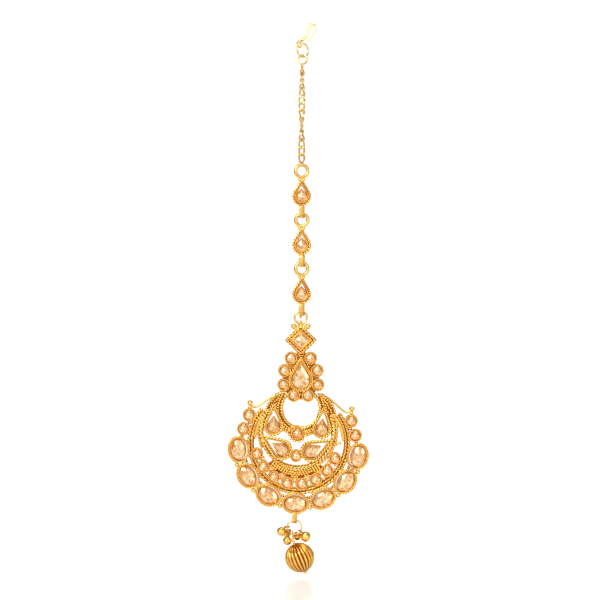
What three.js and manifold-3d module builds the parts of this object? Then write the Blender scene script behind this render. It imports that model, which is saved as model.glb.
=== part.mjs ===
// A maang tikka: hair hook, curb chain, three teardrop links and a crescent pendant with a bead drop.
// Millimetres, +Z up, the stones face -Y. The origin is the bend of the hair hook, where the hair holds it.
import * as THREE from 'three';
import { mergeVertices } from 'three/addons/utils/BufferGeometryUtils.js';
import Module from 'manifold-3d';

const wasm = await Module();
wasm.setup();

// ---- driving dimensions ----
const CHAIN_X = -3.0;              // the chain hangs this far to the side of the hook's bend
const GAP = 0.15;                  // between a stone and its setting, and between linked wires
const FINE_WIRE = 0.23;            // radius of the wire of hook, rings and pins
const BACK = 0.9;                  // the flat back of every soldered setting lies in this plane
const FRONT = -1.0;                // front rims of the settings
const FLOOR = 0.4;                 // thickness of the floor under a stone
const WALL = 0.4;                  // thickness of a collet wall
const SEAM = 0.03;                 // edges shorter than this are closed up where metal is soldered
const STONE_TOP = -1.55;           // highest point of the stones in front of the settings

const EYE_RADIUS = 0.92;           // eye at the foot of the hair hook
const EYE_TURN = -35;              // degrees about the plumb line
const HOOK_RING = { radius: 2.05, z: -7.6, turn: 38 };
const JUMP_RING = { radius: 1.4, turn: -25 };
const LINK_SPACING = 0.62;         // between the centre lines of two wires that hang in each other

const LINK_PITCH = 14.67;
const LINK_TOP = -43.8;            // centre of the first link's ring
const LINK_TURNS = [5, -7, 4];     // how far each link has turned about the plumb line, degrees
const LINK_RING = { radius: 1.83, wire: 0.47 };
const CHAIN_RADIUS = 1.0;
const BAIL_WIDTH = 1.55;

const PENDANT = new THREE.Vector3(-3.25, 0, -115.05);    // centre of the crescent's round window
const PENDANT_LEAN = 3.4;          // degrees that the crescent leans to the right of plumb
const PENDANT_RING = { radius: 1.85, wire: 0.26, z: 27.24 };
const WINDOW_RADIUS = 5.3;

const ARCS = { x: 0, z: -10.3 };    // centre of the crescent's outer arcs
const OVAL_ARC = 18.1;             // radius of the row of oval stones
const ROUND_ARC = 12.4;            // radius of the inner row of round stones
const ROPE_ARC = 14.5;             // radius of the border between the two rows
const STRIP_ARC = 13.3;            // radius of the plain strips at the sides
const INNER_SHIFT = -0.6;          // the openwork inside the border sits a little to the left
const INNER_ROPE = { radius: 10.95, x: INNER_SHIFT, z: -6.8 };
const GRAIN_ARC = 9.6;             // radius of the strip of grains between the inner border and the row

// Outline of the right horn: the bowed edge's four control points, then the corners of its foot.
const HORN_EDGE = [[4.9, 4.6], [8.6, 4.2], [11.0, 0.6], [11.2, -6.5]];
const HORN_FOOT = [[8.0, -9.2], [4.0, -5.0], [5.7, 1.0]];
const HORN_FRONT = -0.3;
// Right half of the plate behind the cluster, from its top.
const CLUSTER_PLATE = [[0, 17.4], [3.2, 15.4], [5.4, 11.4], [5.4, 6.4], [3.0, 3.4]];
const CLUSTER_PLATE_THICKNESS = 0.5;
const SHOULDER = { halfWidth: 4.35, halfHeight: 4.05, front: -0.2 };    // around the diamond stone
const WINDOW_RIM = { width: 1.0, front: -0.3 };

// Bands of the crescent: width, how far each way from straight down in degrees, and front plane.
const BORDER_BAND = { width: 2.2, reach: 130, front: -0.3 };
const INNER_BAND = { width: 0.9, reach: 118, front: -0.35 };
const GRAIN_BAND = { width: 1.9, reach: 52, front: 0 };
const SIDE_STRIP = { width: 1.1, from: 97, to: 133, front: -0.6 };

// Balls on the metal, as x, y, z, radius; the sides mirror each other.
const OVAL_BALLS = { arc: 19.2, y: 0.1, radius: 0.95 };
const SIDE_BALLS = [
  [15.3, 0, 0.75, 0.9], [15.3, 0.1, -0.5, 0.75], [15.1, 0.3, -5.0, 0.9], [17.2, 0.3, -9.5, 0.9],
];
const NECK_BALLS = [
  [-2.1, 0, 24.6, 0.85], [2.1, 0, 24.6, 0.85], [-0.9, 0, 24.3, 0.7], [0.9, 0, 24.3, 0.7], [0, 0, 24.9, 0.8],
];
const TOP_WIRE = {
  radius: 0.28,
  path: [[6.0, 0.2, 4.7], [9.3, 0.2, 2.7], [12.8, 0.1, 0], [14.4, 0, -0.3], [15.3, 0, 0.5]],
};
const MIDDLE_HOOP = { radius: 2.2, wire: 0.5, y: 0.2 };      // wreath around the upper middle stone

const BAIL = { strip: 0.3, inner: 0.82 };
const DROP_BAIL = { top: -30.9, bottom: -34.5 };
const LINK_BAIL = { top: -10.05, bottom: -14.1 };
const LINK_BODY = { z: -7.6, frameZ: -7.7, frameRadius: 2.78, frameHeight: 5.8, frameFront: -0.5 };

// The hook: two flat bars, a neck to the eye, and a wire turned down beside them.
const HOOK_TOP = { x: -0.8, z: 0.1 };
const HOOK_KNEE = { x: -1.85, z: -3.5 };
const HOOK_FOOT = { x: -3.0, z: -4.5 };
const HOOK_BAR = { upper: 1.25, lower: 1.2, half: 0.25, neck: 0.4 };
const HOOK_EYE_ANGLE = 128;        // where the eye sits on the hook ring, degrees from its right side
const TURNED_DOWN = [
  [-0.7, 0, -1.2], [0.1, 0, -0.3], [0.8, 0, 0.3], [1.15, 0, -0.7], [0.95, 0, -2.1],
  [0.25, 0, -3.4], [-0.65, 0, -4.3], [-1.1, 0, -4.75], [-1.5, 0, -5.2],
];
const RING_SHIFT = 0.3;            // the two rings under the hook hang this far beside the chain
const CHAIN_SHIFT = 0.2;           // and the chain's top this far

const DROP_RING = { radius: 2.15, x: -5.15, z: -150.66 };
const BEAD = { radius: 4.44, x: -3.6, z: -159.75, lean: -21.5, bore: 0.5 };
const BEAD_RIBS = 14;              // sides of the bead around its axis
const BEAD_ROWS = 7;               // and along it
const PIN = { top: 5.6, foot: -4.9, head: 0.6, elbow: 0.3 };    // measured along the bead's axis
const PIN_LOOP = { radius: 0.8, z: 7.1 };                        // the loop's centre above the bead's centre
const BALL_EYE = { radius: 0.62, wire: 0.18 };                   // eye and stem of a small ball
const BALL_STEM = 0.3;

const GOLD = { color: 0xd9962b, roughness: 0.28, metalness: 1.0 };
const PALE_GOLD = { color: 0xe6b04a, roughness: 0.22, metalness: 1.0 };
const CHAMPAGNE = { color: 0xe9b98c, roughness: 0.08, metalness: 0.0 };

const radians = THREE.MathUtils.degToRad;

// ---- solids ----
function solid(geometry) {
  const bare = geometry.clone();
  bare.deleteAttribute('normal');
  bare.deleteAttribute('uv');
  const merged = mergeVertices(bare, 1e-5);
  return new wasm.Manifold(new wasm.Mesh({
    numProp: 3,
    vertProperties: new Float32Array(merged.attributes.position.array),
    triVerts: new Uint32Array(merged.index.array),
  }));
}

function join(geometries) {
  return geometries.map(solid).reduce((whole, next) => whole.add(next));
}

function surface(manifold) {
  const mesh = manifold.getMesh();
  const geometry = new THREE.BufferGeometry();
  geometry.setAttribute('position', new THREE.BufferAttribute(mesh.vertProperties, 3));
  geometry.setIndex(new THREE.BufferAttribute(mesh.triVerts, 1));
  return geometry;
}

function moved(geometry, x, y, z) {
  return geometry.translate(x, y, z);
}

// Turns a geometry clockwise as seen from the front.
function leaned(geometry, degrees) {
  return geometry.rotateY(radians(degrees));
}

// ---- outlines in the plane of the pendant; each returns the shape grown outward by a distance ----
function round(radius) {
  return (grow = 0) => new THREE.Shape().absarc(0, 0, radius + grow, 0, 2 * Math.PI);
}

function oval(halfWidth, halfHeight) {
  return (grow = 0) => new THREE.Shape().absellipse(
    0, 0, halfWidth + grow, halfHeight + grow, 0, 2 * Math.PI);
}

// A circle with a point above it: the straight sides are tangent to the circle.
function teardrop(radius, height) {
  return (grow = 0) => {
    const r = radius + grow;
    const tip = height * r / radius;
    const open = Math.acos(r / tip);
    const shape = new THREE.Shape();
    shape.absarc(0, 0, r, Math.PI / 2 + open, Math.PI * 2.5 - open);
    shape.lineTo(0, tip);
    shape.closePath();
    return shape;
  };
}

function diamond(halfWidth, halfHeight) {
  return (grow = 0) => {
    const side = Math.hypot(halfWidth, halfHeight);
    const w = halfWidth + grow * side / halfHeight;
    const h = halfHeight + grow * side / halfWidth;
    return new THREE.Shape([[w, 0], [0, h], [-w, 0], [0, -h]].map(([x, z]) => new THREE.Vector2(x, z)));
  };
}

// An outline extruded from the plane y = back forward to y = front; an arc in it gets this many sides.
function plate(shape, back, front, sides) {
  const settings = { depth: back - front, bevelEnabled: false, curveSegments: sides / 2 };
  return new THREE.ExtrudeGeometry(shape, settings).rotateX(Math.PI / 2).translate(0, back, 0);
}

// A flat arc band; angles run from straight down.
function band(centre, radius, width, from, to, front, sides) {
  const shape = new THREE.Shape();
  const start = radians(from - 90);
  const end = radians(to - 90);
  shape.absarc(0, 0, radius + width / 2, start, end, false);
  shape.absarc(0, 0, radius - width / 2, end, start, true);
  return moved(plate(shape, BACK, front, sides), centre.x, 0, centre.z);
}

// A band that reaches equally far to both sides.
function symmetric(centre, radius, { width, reach, front }, sides) {
  return band(centre, radius, width, -reach, reach, front, sides);
}

function polygon(radius, sides) {
  const corner = (i) => (i + 0.5) * 2 * Math.PI / sides;
  return new THREE.Shape(Array.from({ length: sides }, (_, i) => new THREE.Vector2(
    radius * Math.cos(corner(i)), radius * Math.sin(corner(i)))));
}

function wire(points, radius, steps, sides = 5) {
  const path = new THREE.CatmullRomCurve3(points.map((p) => new THREE.Vector3(...p)));
  return new THREE.ExtrudeGeometry(polygon(radius, sides), { steps, bevelEnabled: false, extrudePath: path });
}

// A wire ring that stands in the plane of the pendant.
function ring(radius, thickness, segments = 16) {
  return new THREE.TorusGeometry(radius, thickness, 5, segments).rotateX(Math.PI / 2);
}

function granule(x, y, z, radius) {
  return moved(new THREE.IcosahedronGeometry(radius, 0), x, y, z);
}

// A point on an arc about the crescent's arc centre, at an angle from straight down.
function onArc(radius, degrees) {
  const angle = radians(degrees);
  return { x: radius * Math.sin(angle), z: ARCS.z - radius * Math.cos(angle) };
}

// ---- a setting: a collet open behind around its floor, where its opening is wider than the stone ----
function collet({ opening, stone, drop = 0, sides = 12, wall = WALL, front = FRONT }) {
  const rim = opening(wall);
  rim.holes.push(opening(0));
  const seat = moved(plate(stone(GAP + 0.2), BACK, BACK - FLOOR, sides), 0, 0, -drop);
  const clipped = solid(seat).intersect(solid(plate(opening(wall), BACK, front, sides)));
  return solid(plate(rim, BACK, front, sides)).add(clipped);
}

// A foiled stone cut with its point forward: its outline at three levels, each scaled about its centre.
const STONE_LEVELS = [
  { y: BACK - FLOOR - GAP, scale: 0.86 },
  { y: -0.45, scale: 1 },
  { y: STONE_TOP, scale: 0.36 },
];

function cutStone({ stone, drop = 0, sides = 12 }) {
  const settings = { depth: STONE_LEVELS.length - 1, steps: STONE_LEVELS.length - 1, bevelEnabled: false };
  const geometry = new THREE.ExtrudeGeometry(stone(), { ...settings, curveSegments: sides / 2 });
  const points = geometry.attributes.position;
  for (let i = 0; i < points.count; i += 1) {
    const level = STONE_LEVELS[Math.round(points.getZ(i))];
    points.setXYZ(i, points.getX(i) * level.scale, level.y, points.getY(i) * level.scale);
  }
  return moved(geometry, 0, 0, -drop);
}

// ---- the stones' settings on the pendant, each with its place and its turn ----
const SMALL_ROUND = { opening: round(1.45), stone: round(1.3), sides: 10 };
const SIDE_ROUND = { opening: round(1.5), stone: round(1.35), sides: 10 };
const MIDDLE_ROUND = { ...SMALL_ROUND, wall: 0.6 };
const OVAL = { opening: oval(3.3, 2.5), stone: oval(3.0, 2.15), drop: 0.2, sides: 16, wall: 0.5 };
const UPPER_TEAR = { opening: teardrop(1.9, 5.0), stone: teardrop(1.6, 2.9), drop: 0.15, wall: 0.7 };
const LOWER_TEAR = { opening: teardrop(2.1, 5.4), stone: teardrop(1.7, 3.2), drop: 0.2, wall: 0.75 };
const KITE = { opening: diamond(2.8, 2.7), stone: diamond(2.6, 2.5), sides: 4, wall: 0.85 };
const PEAR = { opening: teardrop(2.85, 5.6), stone: teardrop(2.65, 5.2), sides: 16, wall: 0.45 };
const LINK_TEAR = { opening: teardrop(1.7, 3.4), stone: teardrop(1.5, 2.1), drop: 0.1, wall: 0.45 };

const CLUSTER_ROUNDS = [[2.94, 15.1], [4.89, 11.37], [5.13, 7.11], [2.13, 3.9]];
const KITE_HEIGHT = 20.5;
const PEAR_HEIGHT = 8.7;
const OVAL_STEP = 26.8;            // degrees between neighbouring ovals on their arc
const ROUND_STEP = 20.25;          // degrees between neighbouring rounds on theirs
const SIDE_ROUNDS = [[16.79, -7.1], [15.33, -2.86]];
const UPPER_TEAR_AT = { x: 7.24, z: -5.73, lean: 2.5 };
const LOWER_TEAR_AT = { x: 4.45, z: -12.6, lean: 58.5 };
const MIDDLE_ROUNDS = [-7.45, -14.2];

const both = (list) => [-1, 1].flatMap((side) => list.map((item, i) => ({ side, item, i })));
const sideName = (side) => (side < 0 ? 'left' : 'right');

// Every setting of the pendant as { name, kind, x, z, lean, upright }.
function settings() {
  const list = [
    { name: 'diamond_stone', kind: KITE, x: 0, z: KITE_HEIGHT, lean: 0, upright: true },
    { name: 'pear_stone', kind: PEAR, x: 0, z: PEAR_HEIGHT, lean: 0, upright: true },
  ];
  for (const { side, item: [x, z], i } of both(CLUSTER_ROUNDS)) {
    const name = `cluster_round_stone_${sideName(side)}_${i + 1}`;
    list.push({ name, kind: SMALL_ROUND, x: side * x, z, lean: 0, upright: true });
  }
  for (let i = -3; i <= 3; i += 1) {
    const lean = -i * OVAL_STEP;
    list.push({ name: `oval_stone_${i + 4}`, kind: OVAL, ...onArc(OVAL_ARC, i * OVAL_STEP), lean });
  }
  for (let i = 0; i < 8; i += 1) {
    const at = onArc(ROUND_ARC, (i - 3.5) * ROUND_STEP);
    const name = `row_round_stone_${i + 1}`;
    list.push({ name, kind: SMALL_ROUND, x: at.x + INNER_SHIFT, z: at.z, lean: 0 });
  }
  for (const { side, item: [x, z], i } of both(SIDE_ROUNDS)) {
    const name = `side_round_stone_${sideName(side)}_${i + 1}`;
    list.push({ name, kind: SIDE_ROUND, x: side * x, z, lean: 0 });
  }
  for (const side of [-1, 1]) {
    const upper = UPPER_TEAR_AT;
    const lower = LOWER_TEAR_AT;
    list.push({
      name: `upper_teardrop_stone_${sideName(side)}`,
      kind: UPPER_TEAR, x: side * upper.x + INNER_SHIFT, z: upper.z, lean: side * upper.lean,
    });
    list.push({
      name: `lower_teardrop_stone_${sideName(side)}`,
      kind: LOWER_TEAR, x: side * lower.x + INNER_SHIFT, z: lower.z, lean: side * lower.lean,
    });
  }
  MIDDLE_ROUNDS.forEach((z, i) => {
    list.push({ name: `middle_round_stone_${i + 1}`, kind: MIDDLE_ROUND, x: INNER_SHIFT, z, lean: 0 });
  });
  return list;
}

// ---- soldered metal of the pendant ----
const UPRIGHT_TURN = -PENDANT_LEAN;  // turns an upright part back against the crescent's lean

function placedInCrescent(geometry, place) {
  leaned(geometry, place.lean);
  moved(geometry, place.x, 0, place.z);
  return place.upright ? leaned(geometry, UPRIGHT_TURN) : geometry;
}

// The filled corner between the window's rim and the cluster, with a bowed outer edge.
function horn(side) {
  const shape = new THREE.Shape();
  shape.moveTo(...HORN_EDGE[0]);
  shape.bezierCurveTo(...HORN_EDGE.slice(1).flat());
  for (const corner of HORN_FOOT) {
    shape.lineTo(...corner);
  }
  const half = plate(shape, BACK, HORN_FRONT, 8);
  return side > 0 ? half : surface(solid(half).mirror([1, 0, 0]));
}

// The plate behind the cluster, a long kite with cut corners that joins the settings.
function clusterPlate() {
  const right = CLUSTER_PLATE.map(([x, z]) => new THREE.Vector2(x, z));
  const left = CLUSTER_PLATE.slice(1).reverse().map(([x, z]) => new THREE.Vector2(-x, z));
  const outline = new THREE.Shape([...right, ...left]);
  return leaned(plate(outline, BACK, BACK - CLUSTER_PLATE_THICKNESS, 1), UPRIGHT_TURN);
}

// A bail: a strip bent into a closed loop in the plane across the pendant.
function bail({ top, bottom }) {
  const outer = BAIL.inner + BAIL.strip;
  const loop = (reach) => {
    const shape = new THREE.Shape();
    const low = bottom + outer;
    const high = top - outer;
    shape.absarc(0, low, reach, Math.PI, 2 * Math.PI);
    shape.absarc(0, high, reach, 0, Math.PI);
    shape.closePath();
    return shape;
  };
  const outline = loop(outer);
  outline.holes.push(loop(BAIL.inner));
  const shape = { depth: BAIL_WIDTH, bevelEnabled: false, curveSegments: 3 };
  return new THREE.ExtrudeGeometry(outline, shape)
    .rotateX(Math.PI / 2).rotateZ(Math.PI / 2).translate(-BAIL_WIDTH / 2, 0, 0);
}

// Grains of metal that stand free of the borders; those that lie in rows are part of a strip.
function grains() {
  const list = [-2.5, -1.5, -0.5, 0.5, 1.5, 2.5].map((i) => {      // outside, between the ovals
    const at = onArc(OVAL_BALLS.arc, i * OVAL_STEP);
    return granule(at.x, OVAL_BALLS.y, at.z, OVAL_BALLS.radius);
  });
  for (const { side, item: [x, y, z, radius] } of both(SIDE_BALLS)) {
    list.push(granule(side * x, y, z, radius));
  }
  return list;
}

function pendantFrame() {
  const parts = [
    clusterPlate(),
    horn(-1),
    horn(1),
    symmetric(ARCS, ROPE_ARC, BORDER_BAND, 32),
    symmetric(INNER_ROPE, INNER_ROPE.radius, INNER_BAND, 26),
    symmetric({ x: INNER_SHIFT, z: ARCS.z }, GRAIN_ARC, GRAIN_BAND, 20),
    band(ARCS, STRIP_ARC, SIDE_STRIP.width, SIDE_STRIP.from, SIDE_STRIP.to, SIDE_STRIP.front, 10),
    band(ARCS, STRIP_ARC, SIDE_STRIP.width, -SIDE_STRIP.to, -SIDE_STRIP.from, SIDE_STRIP.front, 10),
    bail(DROP_BAIL),
    moved(ring(MIDDLE_HOOP.radius, MIDDLE_HOOP.wire, 12), INNER_SHIFT, MIDDLE_HOOP.y, MIDDLE_ROUNDS[0]),
    ...grains(),
  ];
  for (const side of [-1, 1]) {
    parts.push(wire(TOP_WIRE.path.map(([x, y, z]) => [side * x, y, z]), TOP_WIRE.radius, 10));
  }
  for (const ball of NECK_BALLS) {
    parts.push(leaned(granule(...ball), UPRIGHT_TURN));
  }
  const shoulder = plate(diamond(SHOULDER.halfWidth, SHOULDER.halfHeight)(), BACK, SHOULDER.front, 4);
  parts.push(leaned(moved(shoulder, 0, 0, KITE_HEIGHT), UPRIGHT_TURN));
  const ringAt = moved(ring(PENDANT_RING.radius, PENDANT_RING.wire, 16), 0, 0, PENDANT_RING.z);
  parts.push(leaned(ringAt, UPRIGHT_TURN));
  const window = solid(plate(round(WINDOW_RADIUS)(), BACK + 1, FRONT - 1, 24));
  const rim = round(WINDOW_RADIUS + WINDOW_RIM.width)();
  rim.holes.push(round(WINDOW_RADIUS)());
  let metal = join(parts).subtract(window).add(solid(plate(rim, BACK, WINDOW_RIM.front, 24)));
  const places = settings();
  for (const place of places) {
    const hole = plate(place.kind.opening(0.02), BACK + 1, FRONT - 1, place.kind.sides ?? 12);
    metal = metal.subtract(solid(placedInCrescent(hole, place)));
  }
  for (const place of places) {
    metal = metal.add(solid(placedInCrescent(surface(collet(place.kind)), place)));
  }
  return surface(metal.simplify(SEAM));
}

// ---- the other pieces ----
function hairHook() {
  const bar = (from, to, width) => {
    const length = Math.hypot(to.x - from.x, to.z - from.z);
    const shape = new THREE.Shape();
    shape.absarc(0, 0, width / 2, 0, Math.PI);
    shape.absarc(0, -length, width / 2, Math.PI, 2 * Math.PI);
    shape.closePath();
    const lean = THREE.MathUtils.radToDeg(Math.atan2(from.x - to.x, from.z - to.z));
    return moved(leaned(plate(shape, HOOK_BAR.half, -HOOK_BAR.half, 6), lean), from.x, 0, from.z);
  };
  const across = HOOK_RING.radius * Math.cos(radians(HOOK_EYE_ANGLE));
  const eyeX = CHAIN_X + RING_SHIFT + across * Math.cos(radians(HOOK_RING.turn));
  const eyeY = across * Math.sin(radians(HOOK_RING.turn));
  const eyeZ = HOOK_RING.z + HOOK_RING.radius * Math.sin(radians(HOOK_EYE_ANGLE));
  const eye = ring(EYE_RADIUS, FINE_WIRE, 10).rotateZ(radians(EYE_TURN)).translate(eyeX, eyeY, eyeZ);
  const neck = wire([[HOOK_FOOT.x, 0, HOOK_FOOT.z], [eyeX, eyeY, eyeZ + EYE_RADIUS]], HOOK_BAR.neck, 1);
  const upper = bar(HOOK_TOP, HOOK_KNEE, HOOK_BAR.upper);
  const lower = bar(HOOK_KNEE, HOOK_FOOT, HOOK_BAR.lower);
  return surface(join([upper, lower, eye, neck, wire(TURNED_DOWN, FINE_WIRE, 14)]));
}

function link() {
  const outer = teardrop(LINK_BODY.frameRadius, LINK_BODY.frameHeight)();
  outer.holes.push(LINK_TEAR.opening(0.1));
  const parts = [
    ring(LINK_RING.radius, LINK_RING.wire, 14),
    moved(plate(outer, BACK, LINK_BODY.frameFront, 12), 0, 0, LINK_BODY.frameZ),
    bail(LINK_BAIL),
    moved(surface(collet(LINK_TEAR)), 0, 0, LINK_BODY.z),
  ];
  return surface(join(parts));
}

function linkStone() {
  return moved(cutStone(LINK_TEAR), 0, 0, LINK_BODY.z);
}

// The bead is bored along its axis for the pin.
function melonBead() {
  const arc = Array.from({ length: BEAD_ROWS + 1 }, (_, i) => {
    const angle = Math.PI * i / BEAD_ROWS;
    return new THREE.Vector2(BEAD.radius * Math.sin(angle), -BEAD.radius * Math.cos(angle));
  });
  const ball = new THREE.LatheGeometry(arc, BEAD_RIBS).rotateX(Math.PI / 2);
  const bore = new THREE.CylinderGeometry(BEAD.bore, BEAD.bore, 3 * BEAD.radius, 8);
  const bored = solid(ball).subtract(solid(bore.rotateX(Math.PI / 2)));
  return leaned(surface(bored), BEAD.lean);
}

function headPin() {
  const lean = radians(BEAD.lean);
  const along = (t) => [t * Math.sin(lean), 0, t * Math.cos(lean)];
  const neck = along(PIN.top);
  const shaft = wire([along(PIN.foot), neck], FINE_WIRE, 1);
  const riser = wire([neck, [neck[0], 0, PIN_LOOP.z - PIN_LOOP.radius]], FINE_WIRE, 1);
  const loop = new THREE.TorusGeometry(PIN_LOOP.radius, FINE_WIRE, 5, 10).rotateY(Math.PI / 2);
  const head = granule(...along(PIN.foot), PIN.head);
  const elbow = granule(...neck, PIN.elbow);
  return surface(join([shaft, riser, elbow, head, moved(loop, neck[0], 0, PIN_LOOP.z)]));
}

// Small plain balls, each with a stem and an eye around the drop ring's wire.
const GHUNGROOS = [
  { ringAngle: -35, radius: 1.6, x: -1.86, y: -0.2, z: -153.45 },
  { ringAngle: -184, radius: 1.4, x: -9.14, y: -0.2, z: -151.95 },
  { ringAngle: -135, radius: 1.38, x: -7.35, y: -0.4, z: -154.65 },
  { ringAngle: -75, radius: 1.35, x: -4.4, y: 2.1, z: -153.6 },
  { ringAngle: -152, radius: 1.35, x: -7.5, y: 2.75, z: -152.8 },
];

function ghungroo({ ringAngle, radius, x, y, z }) {
  const angle = radians(ringAngle);
  const eyeX = DROP_RING.x + DROP_RING.radius * Math.cos(angle);
  const eyeZ = DROP_RING.z + DROP_RING.radius * Math.sin(angle);
  const hoop = new THREE.TorusGeometry(BALL_EYE.radius, BALL_EYE.wire, 4, 8);
  const eye = moved(hoop.rotateY(-angle), eyeX, 0, eyeZ);
  const outward = (x - eyeX) * Math.cos(angle) + (z - eyeZ) * Math.sin(angle);
  const way = new THREE.Vector3(outward * Math.cos(angle), y, outward * Math.sin(angle));
  const start = way.setLength(BALL_EYE.radius);
  const stem = wire([[eyeX + start.x, start.y, eyeZ + start.z], [x, y, z]], BALL_STEM, 1);
  const ball = moved(new THREE.IcosahedronGeometry(radius, 1), x, y, z);
  return surface(join([eye, stem, ball]));
}

// ---- assembly ----
const tikka = new THREE.Group();

function add(parent, name, geometry, finish) {
  const mesh = new THREE.Mesh(geometry, new THREE.MeshStandardMaterial(finish));
  mesh.name = name;
  parent.add(mesh);
  return mesh;
}

function group(parent, x, y, z, turn = 0) {
  const holder = new THREE.Group();
  holder.position.set(x, y, z);
  holder.rotation.z = radians(turn);
  parent.add(holder);
  return holder;
}

add(tikka, 'hair_hook', hairHook(), GOLD);
const hookRing = group(tikka, CHAIN_X + RING_SHIFT, 0, HOOK_RING.z, HOOK_RING.turn);
add(hookRing, 'hook_ring', ring(HOOK_RING.radius, FINE_WIRE, 16), GOLD);
const jumpTop = HOOK_RING.z - HOOK_RING.radius + LINK_SPACING;
const jumpZ = jumpTop - JUMP_RING.radius;
const jumpRing = group(tikka, CHAIN_X + RING_SHIFT, 0, jumpZ, JUMP_RING.turn);
add(jumpRing, 'jump_ring', ring(JUMP_RING.radius, FINE_WIRE, 14), GOLD);

const chainTop = jumpZ - JUMP_RING.radius - FINE_WIRE - GAP;
const chainFoot = LINK_TOP + LINK_RING.radius + LINK_RING.wire + GAP;
const chainRun = [
  [CHAIN_X + CHAIN_SHIFT, 0, chainTop],
  [CHAIN_X, 0, (chainTop + chainFoot) / 2],
  [CHAIN_X, 0, chainFoot],
];
add(tikka, 'curb_chain', wire(chainRun, CHAIN_RADIUS, 6, 8), GOLD);

LINK_TURNS.forEach((turn, i) => {
  const holder = group(tikka, CHAIN_X, 0, LINK_TOP - i * LINK_PITCH, turn);
  add(holder, `teardrop_link_${i + 1}`, link(), GOLD);
  add(holder, `link_stone_${i + 1}`, linkStone(), CHAMPAGNE);
});

const pendant = group(tikka, PENDANT.x, PENDANT.y, PENDANT.z);
pendant.rotation.y = radians(PENDANT_LEAN);
add(pendant, 'pendant_frame', pendantFrame(), GOLD);
for (const place of settings()) {
  add(pendant, place.name, placedInCrescent(cutStone(place.kind), place), CHAMPAGNE);
}

const dropRing = group(tikka, DROP_RING.x, 0, DROP_RING.z);
add(dropRing, 'drop_ring', ring(DROP_RING.radius, FINE_WIRE, 16), GOLD);
GHUNGROOS.forEach((ball, i) => add(tikka, `ghungroo_${i + 1}`, ghungroo(ball), PALE_GOLD));
const bead = group(tikka, BEAD.x, 0, BEAD.z);
add(bead, 'melon_bead', melonBead(), PALE_GOLD);
add(bead, 'head_pin', headPin(), GOLD);

export default tikka;
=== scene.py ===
"""The visual model of a maang tikka: gold work, foiled stones, chain, bead drop and a pale studio."""

import math
import random

import bmesh
import bpy
import numpy as np
from mathutils import Matrix, Vector


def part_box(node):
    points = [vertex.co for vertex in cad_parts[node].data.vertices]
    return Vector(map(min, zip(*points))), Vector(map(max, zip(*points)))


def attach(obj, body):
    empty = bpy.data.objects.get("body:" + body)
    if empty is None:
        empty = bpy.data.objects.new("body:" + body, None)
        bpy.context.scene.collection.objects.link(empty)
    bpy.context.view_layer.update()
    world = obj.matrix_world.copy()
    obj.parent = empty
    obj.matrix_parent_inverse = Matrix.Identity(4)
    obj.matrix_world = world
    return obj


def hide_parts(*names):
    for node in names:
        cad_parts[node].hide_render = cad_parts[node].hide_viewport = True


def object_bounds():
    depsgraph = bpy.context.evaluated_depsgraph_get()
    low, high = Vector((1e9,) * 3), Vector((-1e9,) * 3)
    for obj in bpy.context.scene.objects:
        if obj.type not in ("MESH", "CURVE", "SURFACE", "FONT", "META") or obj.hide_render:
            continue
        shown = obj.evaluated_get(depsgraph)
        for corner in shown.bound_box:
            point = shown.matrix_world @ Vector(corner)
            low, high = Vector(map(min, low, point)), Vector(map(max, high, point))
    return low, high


bl_info = {
    "name": "Maang tikka",
    "version": (1, 0, 0),
    "blender": (4, 5, 0),
    "location": "3D View > Sidebar > Tikka",
    "description": "Builds the gold work, stones, chain and drop of a maang tikka on its packed frame",
    "category": "Add Mesh",
}

MM = 0.001
FACE_ON = Vector((0, 1, 0))  # the stones look the other way
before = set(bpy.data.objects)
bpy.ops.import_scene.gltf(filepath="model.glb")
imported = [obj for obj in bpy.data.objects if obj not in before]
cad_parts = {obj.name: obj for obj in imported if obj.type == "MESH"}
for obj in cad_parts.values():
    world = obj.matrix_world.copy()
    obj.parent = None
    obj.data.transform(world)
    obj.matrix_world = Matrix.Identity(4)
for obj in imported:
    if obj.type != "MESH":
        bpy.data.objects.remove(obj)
cad_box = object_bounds()


# ---- sizes and colours ----
def length(name, description, millimetres):
    return bpy.props.FloatProperty(
        name=name, description=description, default=millimetres * MM, min=0, precision=5,
        unit="LENGTH", subtype="DISTANCE",
    )


def angle(name, description, degrees):
    return bpy.props.FloatProperty(
        name=name, description=description, default=math.radians(degrees), subtype="ANGLE"
    )


def colour(name, description, value):
    return bpy.props.FloatVectorProperty(
        name=name, description=description, default=value, size=3, min=0, max=1, subtype="COLOR"
    )


class TikkaMetal(bpy.types.PropertyGroup):
    """Wires, grains and finishes of the gold work"""

    fine_wire: length("Fine wire", "Radius of the wire of rings, pins and the turned-down hook", 0.23)
    chain_wire: length("Chain wire", "Radius of the wire of the curb chain's links", 0.3)
    chain_pitch: length("Chain pitch", "From one link of the curb chain to the next", 2.18)
    chain_width: length("Chain width", "Width of a chain link seen face on", 2.15)
    grain: length("Grain", "Radius of the grains that lie in rows", 0.42)
    fine_grain: length("Fine grain", "Radius of the grains that fill the horns", 0.38)
    rope: length("Rope", "Radius of the coarse twisted borders", 0.5)
    fine_rope: length("Fine rope", "Radius of the twisted wire around a setting", 0.3)
    gold: colour("Gold", "Polished gold on the raised parts", (1.0, 0.68, 0.22))
    pale_gold: colour("Pale gold", "Gold of the bead and the small balls", (1.0, 0.69, 0.21))
    # Painted shade: the colour that the gold takes in its hollows, where shade falls.
    recess_shade_gold: colour("Deep gold", "Colour that lies in the recesses", (0.5, 0.15, 0.01))


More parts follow.
